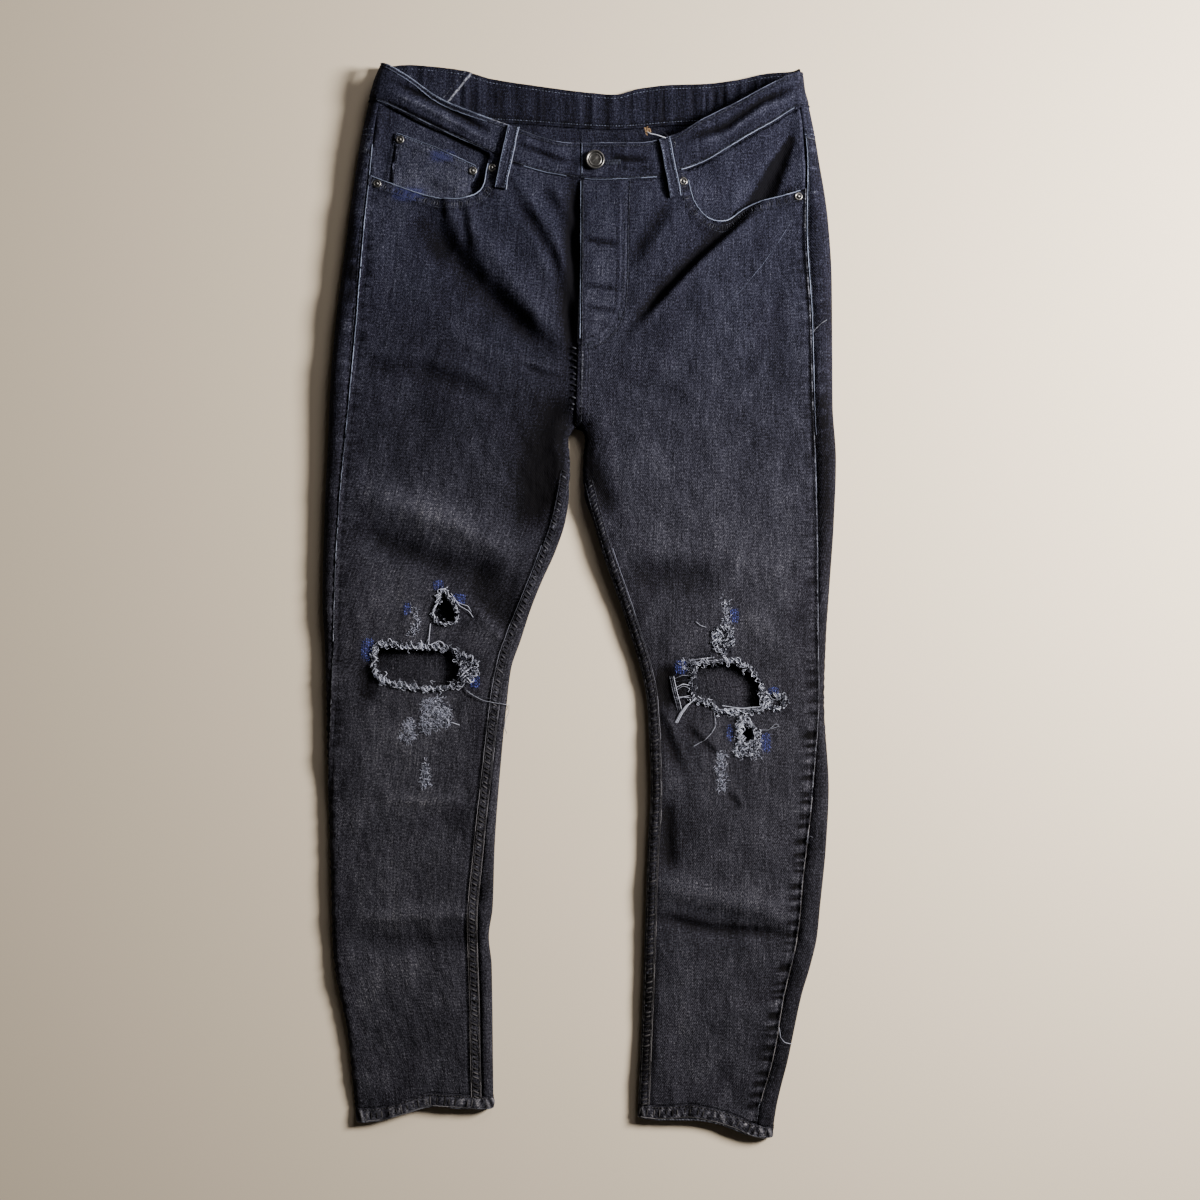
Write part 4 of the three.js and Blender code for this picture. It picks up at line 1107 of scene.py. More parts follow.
def front_band(half, name, node, seed):
    """Half of the front waistband, with its puckered edges. share runs from its seam to its top."""
    columns = np.concatenate([np.linspace(0, 1, 100)[:-1], np.linspace(1, 1.46, 14)])
    share = np.linspace(0, 1, BAND_ROWS)[:, None]
    u = np.broadcast_to(columns, (BAND_ROWS, len(columns)))
    y = np.broadcast_to(mix(440.0, 480.0, share), u.shape).copy()
    for _ in range(ROUNDS):
        x = half.ring(y, u)[..., 0]
        y = mix(curve(FRONT_SEAM)(x) + 0.2, curve(FRONT_TOP)(x), share)
    grid = half.ring(y, u)
    x = grid[..., 0]
    pucker = rope(x * 1.3, 8.5, seed)
    edges = bell(share, 0.16) + bell(1 - share, 0.16)
    lift = BAND_PROUD + 0.55 * np.sin(np.pi * share) ** 0.5 + 0.45 * pucker * edges
    lift = lift - 1.1 * bell(share - 0.06, 0.035) - 0.5 * bell(share - 0.91, 0.03)
    grid = raised(grid, half.side, lift)
    worn = mix(0.7, 0.9, smooth((-55 - x) / 20))
    top_wear = worn * np.clip(1 - (1 - share) * 40 / 4, 0, 1)
    ridge = (0.6 + 0.14 * pucker) * bell(share - 0.15, 0.05)
    top_wear = np.maximum(top_wear, ridge)
    shade = 0.05 * pucker * edges - 0.18 * bell(share - 0.055, 0.04)
    shade = shade - 0.08 * bell(share - 0.9, 0.03)
    return cloth_piece(name, grid, half.side, node, BAND, top_wear, fade_and_shade=shade)


def flap_at(x, y):
    """How far a place is beyond the edge of the back waistband's overlap, which slants."""
    return (-121 - (531 - y) * 0.8) - x


def back_band(name, node):
    """The back waistband, seen from its inner side. It climbs round both side folds."""
    rows = BAND_ROWS
    share = np.linspace(0, 1, rows)[:, None]
    right_climb = np.linspace(1.57, 2.0, 12)[:-1]
    left_climb = np.linspace(2.0, 1.57, 12)[1:]
    flat = np.linspace(0, 1, 190)
    count = len(right_climb) + len(flat) + len(left_climb)
    y = np.broadcast_to(mix(490.0, 530.0, share), (rows, count)).copy()
    first = len(right_climb)
    last = first + len(flat)
    for _ in range(ROUNDS):
        right_part = RIGHT.ring(y[:, :first], np.broadcast_to(right_climb, (rows, first)))
        left_part = LEFT.ring(y[:, last:], np.broadcast_to(left_climb, (rows, count - last)))
        mid_y = y[:, first:last]
        x = mix(-RIGHT.outer_flat(mid_y), LEFT.outer_flat(mid_y), flat)
        mid_part = np.stack([x, mid_y, np.full(x.shape, SEAT_LIFT)], -1)
        grid = np.concatenate([right_part, mid_part, left_part], axis=1)
        y = mix(curve(BACK_SEAM)(grid[..., 0]) + 0.2, curve(BACK_TOP)(grid[..., 0]), share)
    grid[..., 1] = y
    x = grid[..., 0]
    inner = normals_of(grid, 1)
    pucker = 0.5 * rope(x, 15, 71) + 0.35 * rope(x, 7, 72)
    deep = 0.6 + 1.2 * smooth((x - 60) / 60)
    swell = 1.7 * deep * pucker * np.sin(np.pi * share) + 0.5 * pucker
    # painted light and shade over the band's puckers, and painted shade along its lower seam
    crease_shade = 0.08 * rope(x, 41, 73) + 0.12 * pucker - 0.1 - 0.14 * bell(share - 0.1, 0.05)
    crease_shade = crease_shade + 0.06 * smooth((-100 - x) / 30)
    flap = smooth(flap_at(x, y) / 1.6)
    thick = BAND + 0.9 * np.sin(np.pi * share) + swell + 1.3 * flap
    thick = thick - 0.7 * bell(share - 0.08, 0.04) - 0.5 * bell(share - 0.9, 0.035)
    inner_side = grid + inner * thick[..., None]
    flap_edge = np.clip(1 - np.abs(flap_at(x, y) - 1) / 4, 0, 1) * (x < -100)
    flap_seam = 0.8 * np.clip(1 - np.abs(flap_at(x + 8, y) - 1) / 4, 0, 1) * (x < -100)
    flap_edge = np.maximum(flap_edge, flap_seam)
    top_wear = 0.7 * np.clip(1 - (1 - share) * 45 / 4, 0, 1)
    wear = np.maximum(flap_edge, top_wear * np.ones_like(x))
    return shell_piece(name, grid, inner_side, node, wear, crease_shade)


def shell_piece(name, outer, inner, node, wear, fade_and_shade):
    """A closed piece of cloth from its two faces: inner is the one that shows above."""
    rows, columns, _ = outer.shape
    count = rows * columns
    points = np.concatenate([inner.reshape(-1, 3), outer.reshape(-1, 3)])
    top = grid_faces(rows, columns)
    bottom = grid_faces(rows, columns, flip=True) + count
    i = np.arange(rows - 1) * columns
    j = np.arange(columns - 1)
    last = (rows - 1) * columns

    def wall(a, b):
        """The quads that join an edge of the inner face to the same edge of the outer one."""
        return np.stack([a, b, count + b, count + a], -1)

    sides = [
        wall(i + columns, i), wall(i + columns - 1, i + 2 * columns - 1), wall(j, j + 1),
        wall(last + j + 1, last + j),
    ]
    faces = np.concatenate([top, bottom, *sides])
    uv = points[:, :2] / 100
    both = np.concatenate([wear.reshape(-1), wear.reshape(-1) * 0.8])
    values = {"fade_and_shade": np.tile((fade_and_shade + 0 * wear).reshape(-1), 2), "wear": both, "darn": 0 * both}
    piece = make_mesh(name, points, faces, INNER_DENIM, uv, values)
    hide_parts(node)
    return piece


def hem_ring(half, name, node, top_seam, end_seam, seed):
    """A leg's puckered hem, as a closed ring with an inner side."""
    rows = 14
    columns = 150
    share = np.linspace(0, 1, rows)[:, None]
    u = np.broadcast_to(np.linspace(0, 4, columns, endpoint=False), (rows, columns))
    y = np.broadcast_to(mix(-530.0, -515.0, share), u.shape).copy()
    for _ in range(ROUNDS - 1):
        x = half.ring(y, u)[..., 0]
        y = mix(curve(end_seam)(x), curve(top_seam)(x) + 0.4, share)
    grid = half.ring(y, u)
    after = half.ring(y, (u + 0.02) % 4)
    before = half.ring(y, (u - 0.02) % 4)
    along = after - before
    outward = unit(np.stack([-along[..., 2], np.zeros_like(y), along[..., 0]], -1) * half.side)
    pucker = rope(grid[..., 0] + 4 * share, 7.5, seed)
    above = smooth((grid[..., 2] - 3) / 3)
    lift = 0.5 + (0.5 + 0.8 * pucker) * np.sin(np.pi * share) * above
    lift = lift - 0.5 * bell(share - 0.9, 0.06) * above
    outer = grid + outward * lift[..., None]
    outer[..., 2] = np.maximum(outer[..., 2], 0.0)
    inner = outer - outward * HEM
    points = np.concatenate([outer.reshape(-1, 3), inner.reshape(-1, 3)])
    count = rows * columns
    flip = half.side < 0
    skin = grid_faces(rows, columns, closed=True, flip=flip)
    lining = grid_faces(rows, columns, closed=True, flip=not flip) + count
    j = np.arange(columns)
    k = (j + 1) % columns
    last = count - columns
    ends = [np.stack([j, count + j, count + k, k], -1), np.stack([j, k, count + k, count + j], -1) + last]
    if flip:
        ends = [end[:, ::-1] for end in ends]
    faces = np.concatenate([skin, lining, *ends])
    uv = np.stack([np.tile(np.linspace(0, 3.2, columns), 2 * rows), points[:, 1] / 100], -1)
    edge = np.clip(1 - share * 14 / 3.5, 0, 1) * 0.95 + 0.6 * np.clip(pucker, 0, 1) * np.sin(np.pi * share)
    wear = np.tile((edge * above).reshape(-1), 2)
    shade = 0.08 + 0.38 * pucker * np.sin(np.pi * share) ** 0.5 - 0.2 * bell(share - 0.97, 0.07)
    fade_and_shade = sample(FADE_AND_SHADE, points[:, 0], points[:, 1]) + np.tile(shade.reshape(-1), 2)
    values = {"fade_and_shade": fade_and_shade, "wear": wear, "darn": 0 * wear}
    piece = make_mesh(name, points, faces, DENIM, uv, values)
    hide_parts(node)
    return piece


def layer_piece(name, node, outline, lift, thickness, extra=None, fade_and_shade=0.0, material=DENIM, step=CELL):
    """A piece that follows the upper layer's height inside an outline. extra gives a further height."""
    corners = np.array(outline)
    x0, y0 = corners.min(0) - 2
    x1, y1 = corners.max(0) + 2
    x, y = np.meshgrid(spaced(x0, x1, step), spaced(y0, y1, step))
    z = top_z(x, y) + lift
    if extra is not None:
        z = z + extra(x, y)
    grid = np.stack([x, y, z], -1)
    rows, columns, _ = grid.shape
    points = grid.reshape(-1, 3).copy()
    faces = grid_faces(rows, columns)
    around = [tuple(p) for p in resample(outline + outline[:1], 2)[0][:-1].tolist()]
    edge = around + around[:1]
    distance, _, _ = to_line(edge, points[:, 0], points[:, 1])
    for index in np.flatnonzero(distance < 0.7 * CELL):
        best = min(edge, key=lambda p: (p[0] - points[index, 0]) ** 2 + (p[1] - points[index, 1]) ** 2)
        points[index, :2] = best
    centre = points[faces].mean(1)
    faces = faces[inside(around, centre[:, 0], centre[:, 1])]
    used = np.unique(faces)
    renumber = np.zeros(len(points), int)
    renumber[used] = np.arange(len(used))
    points = points[used]
    faces = renumber[faces]
    x = points[:, 0]
    y = points[:, 1]
    shade = fade_and_shade(x, y) if callable(fade_and_shade) else fade_and_shade
    values = {"fade_and_shade": sample(FADE_AND_SHADE, x, y) + shade, "wear": wear_at(x, y), "darn": darn_at(x, y)}
    piece = make_mesh(name, points, faces, material, points[:, :2] / 100, values)
    thicken(piece, thickness)
    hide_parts(node)
    return piece


# ---- Stitches and threads -----------------------------------------------------------------------
def stitch_row(line, pitch=3.2, lift=0.25):
    """The ends of each stitch along a polyline on the upper layer."""
    points, along = resample(line, pitch)
    half = 0.36 * pitch
    return points - along * half, points + along * half, np.full(len(points), lift)


def knots_of(line, pitch=3.2, lift=0.25):
    """The rubbed cloth that stands up between the stitches of a row."""
    points, along = resample(line, pitch)
    middle = (points[:-1] + points[1:]) / 2
    half = 0.2 * pitch * along[:-1]
    return middle - half, middle + half, np.full(len(middle), lift)


def joined(rows):
    """The starts, ends and lifts of all the stitches in the given rows."""
    return [np.concatenate(part) for part in zip(*rows)]


def stitches(name, rows, material, radius=0.42, placed=place):
    """All the given rows of stitches as one mesh."""
    starts, ends, lifts = joined(rows)
    a = placed(starts[:, 0], starts[:, 1], lifts)
    b = placed(ends[:, 0], ends[:, 1], lifts)
    share = np.array([0.0, 0.3, 0.7, 1.0])
    sink = np.array([-0.5, 0.12, 0.12, -0.5])
    paths = mix(a[:, None], b[:, None], share[:, None])
    paths[..., 2] += sink
    return tubes(name, paths, radius, material, sides=4)


def curly(rng, starts, headings, length, curl, steps=11, lift=(0.3, 2.2)):
    """Short curly threads that start at plan places."""
    count = len(starts)
    s = np.linspace(0, 1, steps)
    turns = rng.uniform(0.6, 1.7, count)[:, None]
    phase = rng.uniform(0, 2 * np.pi, count)[:, None]
    sway = curl * rng.uniform(0.6, 1.3, count)[:, None]
    angle = headings[:, None] + sway * (np.sin(2 * np.pi * turns * s + phase) - np.sin(phase))
    stride = (rng.uniform(0.6, 1.25, count) * length / (steps - 1))[:, None]
    x = starts[:, :1] + np.cumsum(stride * np.cos(angle), axis=1)
    y = starts[:, 1:2] + np.cumsum(stride * np.sin(angle), axis=1)
    rise = rng.uniform(lift[0], lift[1], count)[:, None]
    wave = rng.uniform(0, 2 * np.pi, count)[:, None]
    up = 0.25 + rise * (0.35 + 0.65 * np.sin(np.pi * s) ** 2) + 0.4 * np.sin(7 * s + wave)
    return place(x, y, np.maximum(up, 0.15))


def fray_rim(rng, outline, per_mm, width, length, curl, inward=0.5):
    """Curly threads along a line, scattered across a width."""
    points, along = resample(outline, 1.0)
    count = int(length_of(outline) * per_mm)
    pick = rng.integers(0, len(points), count)
    away = rng.normal(0, width / 2, count) - inward
    starts = points[pick] + left_of(along[pick]) * away[:, None]
    headings = np.arctan2(along[pick, 1], along[pick, 0]) + rng.choice([0, np.pi], count)
    headings = headings + rng.normal(0, 0.7, count)
    return curly(rng, starts, headings, length, curl)


def fray_patch(rng, outline, per_mm2, length, curl, steps=11):
    """Curly threads inside an outline."""
    corners = np.array(outline)
    low = corners.min(0)
    high = corners.max(0)
    count = int(per_mm2 * np.prod(high - low))
    starts = rng.uniform(low, high, (count, 2))
    starts = starts[inside(outline, starts[:, 0], starts[:, 1])]
    headings = rng.choice([0, 0.5 * np.pi, np.pi, 1.5 * np.pi], len(starts))
    headings = headings + rng.normal(0, 0.22, len(starts))
    return curly(rng, starts, headings, length, curl, steps=steps, lift=(0.0, 0.7))


def twisted_rim(rng, outline, strands, wide, pitch, outward, steps=18):
    """Yarns that wind round a torn edge, in overlapping lengths."""
    points, along = resample(outline, 0.8)
    count = len(points)
    normal = left_of(along)
    pieces = []
    for strand in range(strands):
        start = int(rng.integers(0, 10))
        while start < count:
            length = int(rng.integers(12, 38))
            share = np.linspace(0, 1, steps)
            at = (start + share * length) % count
            index = at.astype(int) % count
            turn = 2 * np.pi * (start + share * length) * 0.8 / (pitch * rng.uniform(0.7, 1.4))
            turn = turn + strand * 2.1
            reach = wide * rng.uniform(0.3, 1.9)
            sideways = outward + reach * np.cos(turn) + rng.normal(0, 1.1) + rng.normal(0, 0.22, steps)
            up = 1.3 + 0.9 * reach * np.sin(turn) + rng.normal(0, 0.12, steps)
            plan = points[index] + normal[index] * sideways[:, None]
            pieces.append(place(plan[:, 0], plan[:, 1], np.maximum(up, 0.1)))
            start += int(length * rng.uniform(0.5, 0.9))
    return np.array(pieces)


def loose_thread(line, lift, steps=40):
    """One long thread through plan points, with a lift at each."""
    points = np.array(line, float)
    run = run_of(points)
    at = np.linspace(0, run[-1], steps)
    x = soften(np.interp(at, run, points[:, 0]), 4)
    y = soften(np.interp(at, run, points[:, 1]), 4)
    return place(x, y, np.interp(at, run, lift))[None]


def darn_rows(rng, centre, wide, tall):
    """Rows of mending stitches over a spot."""
    rows = []
    for x in np.arange(-wide, wide + 0.1, 1.6):
        reach = tall * math.sqrt(max(0.3, 1 - (x / wide) ** 4)) * rng.uniform(0.8, 1.1)
        top = (centre[0] + x, centre[1] + reach)
        foot = (centre[0] + x + rng.uniform(-0.6, 0.6), centre[1] - reach)
        rows.append(stitch_row([foot, top], pitch=rng.uniform(2.2, 3.4), lift=0.15))
    return rows


# ---- The camera ---------------------------------------------------------------------------------
def make_camera():
    """Straight above the garment, as the photograph was taken."""
    camera = bpy.data.objects.new("camera", bpy.data.cameras.new("camera"))
    bpy.context.scene.collection.objects.link(camera)
    camera.data.sensor_width = 36
    camera.data.lens = 39
    camera.location = (0.0214, 0.002, 1.345)
    bpy.context.scene.camera = camera


make_camera()


# ---- Seams, mouths and the fly, as lines --------------------------------------------------------
INSEAM_RIGHT = seam_of(-1, RIGHT_INSEAM, -508, 132)
INSEAM_LEFT = seam_of(1, LEFT_INSEAM, -515, 122)
MOUTH_RIGHT = SCOOP_RIGHT[1:13]
MOUTH_LEFT = SCOOP_LEFT[1:13]
COIN_TOP = COIN_POCKET[:4]
FLY_EDGE = [(1.8, 428), (1.8, 358), (1.2, 300), (1.2, FLY_FOOT)]
FLY_STITCH = [(47, 430), (45, 375), (45, 340), (43, 300), (36, 282), (23, 268), (7, 262), (0, 261)]


# ---- Panels -------------------------------------------------------------------------------------
torn = [ragged(tear, 0.7, 31 + i) for i, tear in enumerate(TEARS)]
right_cuts = [SCOOP_RIGHT, *torn[:2]]
left_cuts = [SCOOP_LEFT, *torn[2:]]
sheets = {
    "front_right": front_panel(
        RIGHT, "right_front_cloth", "front_right", HEM_RIGHT_TOP, right_cuts, MOUTH_RIGHT, 101),
    "front_left": front_panel(
        LEFT, "left_front_cloth", "front_left", HEM_LEFT_TOP, left_cuts, MOUTH_LEFT, 111),
    "back_right": back_panel(RIGHT, "right_back_cloth", "back_right", HEM_RIGHT_TOP, 121),
    "back_left": back_panel(LEFT, "left_back_cloth", "back_left", HEM_LEFT_TOP, 131),
    "yoke_right": yoke_panel(RIGHT, "right_yoke_cloth", "yoke_right"),
    "yoke_left": yoke_panel(LEFT, "left_yoke_cloth", "yoke_left"),
    "band_right": front_band(RIGHT, "right_band", "waistband_front_right", 141),
    "band_left": front_band(LEFT, "left_band", "waistband_front_left", 151),
    "band_back": back_band("back_band", "waistband_back"),
    "hem_right": hem_ring(RIGHT, "right_hem", "hem_right", HEM_RIGHT_TOP, HEM_RIGHT_END, 161),
    "hem_left": hem_ring(LEFT, "left_hem", "hem_left", HEM_LEFT_TOP, HEM_LEFT_END, 171),
}


# ---- Pockets and fly ----------------------------------------------------------------------------
FACING_RIGHT = [
    (-212.5, 433), (-196, 400), (-120, 392), (-84, 412), (-84, 450), (-95, 457), (-125, 471), (-159, 486),
    (-190, 501), (-204.5, 507), (-207.5, 480), (-210, 460),
]
FACING_LEFT = [
    (104, 432), (110, 384), (146, 370), (196, 392), (230, 404), (230.3, 444), (226.7, 487), (224, 502),
    (196, 485), (162, 466), (128, 446), (104, 436),
]


def to_side_seam(x, y, seam, rise):
    """The rise of a facing where it is sewn into the side seam."""
    return rise * smooth((np.abs(x) - curve(seam)(y) + 13) / 11)


GAPE_LEFT = [(217, 474), (213, 464), (200, 439), (188, 408), (182, 392)]


def left_gape(x, y):
    """The deep fold in the left pocket's facing, beside the side seam."""
    distance, _, run = to_line(GAPE_LEFT, x, y)
    fold = -8.0 * smooth(run / 30) * bell(distance, 5 + 0.1 * run)
    return fold + 1.5 * bell(x - 150, 20) + to_side_seam(x, y, LEFT_OUTSEAM, 2.0)


def right_gape(x, y):
    """The right facing sinks away behind the pocket's mouth."""
    distance, _, _ = to_line([(-158, 428), (-125, 414), (-100, 424)], x, y)
    return -5.0 * bell(distance, 9) + to_side_seam(x, y, RIGHT_OUTSEAM, 3.2)


# painted shade in the left pocket's deep fold and its corner, with a painted highlight along the fold's
# edge
def left_shade(x, y):
    distance, _, run = to_line(GAPE_LEFT, x, y)
    dark = -0.8 * smooth((run + 4) / 12) * np.exp(-((distance / (3.2 + 0.14 * run)) ** 4))
    corner = -0.5 * np.exp(-(((x - 214) / 6) ** 2) - ((y - 416) / 5) ** 2)
    lit_edge = 0.3 * np.exp(-(((x - 206 - 0.15 * (y - 422)) / 1.5) ** 2) - ((y - 422) / 10) ** 2)
    return dark + corner + lit_edge + 0.06


# painted shade in the right facing where it sinks behind the pocket's mouth
def right_shade(x, y):
    distance, _, _ = to_line([(-160, 424), (-128, 410), (-98, 420)], x, y)
    return -0.04 - 0.25 * bell(distance, 13)


def coin_bulge(x, y):
    """The coin pocket's turned-in top, and where it sinks behind the mouth."""
    distance, _, _ = to_line(COIN_TOP, x, y)
    hem = smooth((11 - distance) / 1.5)
    sunk, _, _ = to_line([(-158, 425), (-125, 410), (-98, 424)], x, y)
    hem = hem - 6.0 * bell(sunk, 7.5)
    return 0.6 * hem + 0.3 * rope(x, 7.5, 181) * bell(distance, 7) - 0.4 * bell(distance - 12, 1.5)


FLY_SHIELD = [(-5, 426), (-6, 262), (6, 246), (30, 246), (38, 270), (38, 426)]
for hand, outline, lift, extra, fade_and_shade in [
    ("right", FACING_RIGHT, -3.4, right_gape, right_shade),
    ("left", FACING_LEFT, -2.2, left_gape, left_shade),
]:
    name = hand + "_pocket_facing"
    sheets["facing_" + hand] = layer_piece(name, "pocket_facing_" + hand, outline, lift, CLOTH, extra, fade_and_shade)
sheets["coin_pocket"] = layer_piece(
    "coin_pocket_cloth", "coin_pocket", COIN_POCKET, -1.9, CLOTH, coin_bulge, 0.07)
sheets["fly_shield"] = layer_piece(
    "fly_under_lap", "fly_shield", FLY_SHIELD, -4.2, CLOTH, material=INNER_DENIM, step=5)


# ---- Belt loops ---------------------------------------------------------------------------------
def belt_loop(name, node, low, high, width, seed):
    """A loop on the front waistband, from its lower end to its upper one."""
    low = np.array(low, float)
    high = np.array(high, float)
    length = np.linalg.norm(high - low)
    along = (high - low) / length
    sideways = np.array([along[1], -along[0]])
    run = spaced(0, length, 1.6)
    wide = np.linspace(-width / 2, width / 2, 11)
    plan = low + along * run[:, None, None] + sideways * wide[None, :, None]
    share = np.abs(wide) / (width / 2)
    ridge = 0.55 * bell(share - 0.72, 0.2) - 0.35 * bell(share - 0.45, 0.16)
    arch = 2.6 * smooth(run / 7) * smooth((length - run) / 7)
    height = BAND_PROUD + LOOP_CLOTH + arch[:, None] + ridge + 0.18 * rope(run, 6, seed)[:, None]
    height = np.where(share > 0.97, height - 0.7, height)
    grid = place(plan[..., 0], plan[..., 1], height)
    wear = np.broadcast_to(np.where(share > 0.85, 1.0, 0.3), height.shape)
    rubbed = wear * (0.8 + 0.2 * rope(run, 13, seed + 1)[:, None])
    rows, columns, _ = grid.shape
    points = grid.reshape(-1, 3)
    uv = np.stack([np.tile(wide, rows), np.repeat(run, columns)], -1) / 100
    values = {"fade_and_shade": np.full(len(points), 0.06), "wear": rubbed.ravel(), "darn": np.zeros(len(points))}
    piece = make_mesh(name, points, grid_faces(rows, columns), DENIM, uv, values)
    thicken(piece, LOOP_CLOTH)
    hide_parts(node)
    return piece


FRONT_LOOPS = {"right": ((-79.5, 420), (-66, 482), 12.5, 191), "left": ((98, 411), (86.5, 470), 12.0, 195)}
for hand, ends in FRONT_LOOPS.items():
    sheets["loop_" + hand] = belt_loop(hand + "_front_loop", "loop_front_" + hand, *ends)


# ---- The back: pockets, loops and seams ---------------------------------------------------------
def flat_piece(name, node, outline, low, high, fade_and_shade):
    """A flat piece that the garment lies on, with a rounded edge."""
    rings = []
    points = np.array(outline, float)
    middle = points.mean(0)
    around = rounded(outline + outline[:1], 4)
    for inset, z in [(0, mix(low, high, 0.5)), (0.2, low + 0.2), (1.0, low), (6, low + 0.05), (12, low)]:
        shrink = 1 - inset / np.linalg.norm(around - middle, axis=1, keepdims=True)
        plan = middle + (around - middle) * shrink
        rings.append(np.column_stack([plan, np.full(len(plan), z)]))
    rings.insert(0, np.column_stack([middle + (around - middle) * 0.99, np.full(len(around), high)]))
    rings.append(np.column_stack([np.repeat(middle[None], len(around), 0), np.full(len(around), low)]))
    grid = np.array(rings)
    rows, columns, _ = grid.shape
    wear = np.zeros((rows, columns))
    wear[1:3] = 0.8
    faces = grid_faces(rows, columns)
    values = {"fade_and_shade": np.full(rows * columns, fade_and_shade), "wear": wear.ravel(), "darn": np.zeros(rows * columns)}
    flat = grid.reshape(-1, 3)
    piece = make_mesh(name, flat, faces, DENIM, flat[:, :2] / 100, values)
    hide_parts(node)
    return piece


BACK_POCKET = [(40, 398), (176, 416), (178, 290), (112, 258), (46, 276)]
mirrored = [(-x, y) for x, y in BACK_POCKET[::-1]]
sheets["pocket_left"] = flat_piece("left_back_pocket", "back_pocket_left", BACK_POCKET, 0.3, 2.3, 0.03)
sheets["pocket_right"] = flat_piece("right_back_pocket", "back_pocket_right", mirrored, 0.3, 2.3, 0.03)
BACK_LOOPS = {
    "loop_back_right": [(-151, 538), (-139, 537), (-141, 478), (-153, 479)],
    "loop_back_centre": [(-6, 519), (6, 518), (6, 468), (-6, 468)],
    "loop_back_left": [(139, 527), (151, 528), (153, 472), (141, 471)],
}
for node, outline in BACK_LOOPS.items():
    sheets[node] = flat_piece(node + "_cloth", node, outline, 0.1, 2.1, 0.02)


# ---- Stitching ----------------------------------------------------------------------------------
def under(x, y, lift):
    """Points below the lower layer."""
    z = bottom_z(x, y) - np.asarray(lift) * 0.4
    return np.stack([x, y, np.maximum(z, 0.05)], -1)


def on_pocket(x, y, lift):
    return np.stack([x, y, np.full(x.shape, 0.22)], -1)


front_rows = []
front_knots = []


def sew(line, lift, pitch=3.2, rows=front_rows):
    """A row of stitches, and the rubbed knots of cloth between them."""
    rows.append(stitch_row(line, pitch, lift))
    front_knots.append(knots_of(line, pitch, lift - 0.1))


for line, moved, lift in [
    (MOUTH_RIGHT, -3.2, 0.35), (MOUTH_RIGHT, -9.0, 0.45), (MOUTH_LEFT, 3.2, 0.35), (MOUTH_LEFT, 9.0, 0.45),
    (FLY_STITCH, 0.0, 0.2), (FLY_STITCH, 5.0, 0.2), (FLY_EDGE, 2.2, 1.9),
    (INSEAM_RIGHT, 2.0, 1.2), (INSEAM_RIGHT, 9.0, 1.1), (INSEAM_LEFT, -2.0, 1.2), (INSEAM_LEFT, -9.0, 1.1),
    (seam_of(-1, RIGHT_OUTSEAM, 235, 470), 3.0, 0.25), (seam_of(1, LEFT_OUTSEAM, 275, 480), -3.0, 0.25),
]:
    sew(offset(line, moved), lift)
for rise in (2.0, 9.5):
    sew([(1 + rise, FLY_FOOT), (0.5 + rise, 215), (0.5 + rise, 186)], 1.5)
coin_rows = []
for line, lift in [
    (offset(COIN_TOP, -3.0), -1.2), (offset(COIN_TOP, -9.0), -1.3), ([(-181, 472), (-189, 428)], -1.6),
    ([(-187, 474), (-195, 430)], -1.9),
]:
    coin_rows.append(stitch_row(line, 2.8, lift))
band_rows = []
for low, high in [(-205, -2), (3, 226)]:
    sew(across(FRONT_TOP, low, high, -3.6), BAND_PROUD + 0.5, 2.9, band_rows)
    sew(across(FRONT_SEAM, low, high, 2.8), BAND_PROUD + 0.3, 2.9, band_rows)
for line in ([(3, 420), (3, 300)], [(49, 421), (47, 350), (45, 300)]):
    front_knots.append(knots_of(line, lift=1.9))
band_rows.append(stitch_row([(2.8, 464), (2.8, 432)], 2.9, BAND_PROUD + 0.6))
yoke_rows = []
for side, seam in [(-1, RIGHT_OUTSEAM), (1, LEFT_OUTSEAM)]:
    edge = side * curve(seam)(474)
    for rise in (3.0, 8.5):
        line = [(edge + side * 1.5, 472 + rise), (edge + side * 17, 474 + rise)]
        yoke_rows.append(stitch_row(line, lift=0.3))
hem_rows = [
    stitch_row(across(HEM_RIGHT_TOP, -221, -93, -1.6), lift=1.0),
    stitch_row(across(HEM_LEFT_TOP, 62, 194, -1.6), lift=1.0),
]
stitches("front_stitching", front_rows + coin_rows + band_rows + hem_rows, SEAM_THREAD)
stitches("yoke_stitching", yoke_rows, DIM_THREAD, 0.36)
stitches("rubbed_knots", front_knots, PUCKER, 0.36)


def pucker_bars(line, moved, width, pitch, lift, seed, slant=0.0):
    """Short ridges across a seam, drawn up by its thread."""
    uneven = np.random.default_rng(seed)
    points, along = resample(offset(line, moved), pitch)
    count = len(points)
    points = points + along * uneven.normal(0, 0.12 * pitch, (count, 1))
    side = left_of(along) + slant * along
    half = 0.5 * width * uneven.uniform(0.6, 1.15, (count, 1))
    return points - side * half, points + side * half, np.full(count, lift)


def ridges(name, rows, radius, sink=0.45):
    """The given bars as soft low ridges."""
    starts, ends, lifts = joined(rows)
    share = np.linspace(0, 1, 6)[:, None]
    plan = mix(starts[:, None], ends[:, None], share)
    rise = lifts[:, None] - sink * (2 * share[:, 0] - 1) ** 2
    return tubes(name, place(plan[..., 0], plan[..., 1], rise), radius, PUCKER, sides=6)


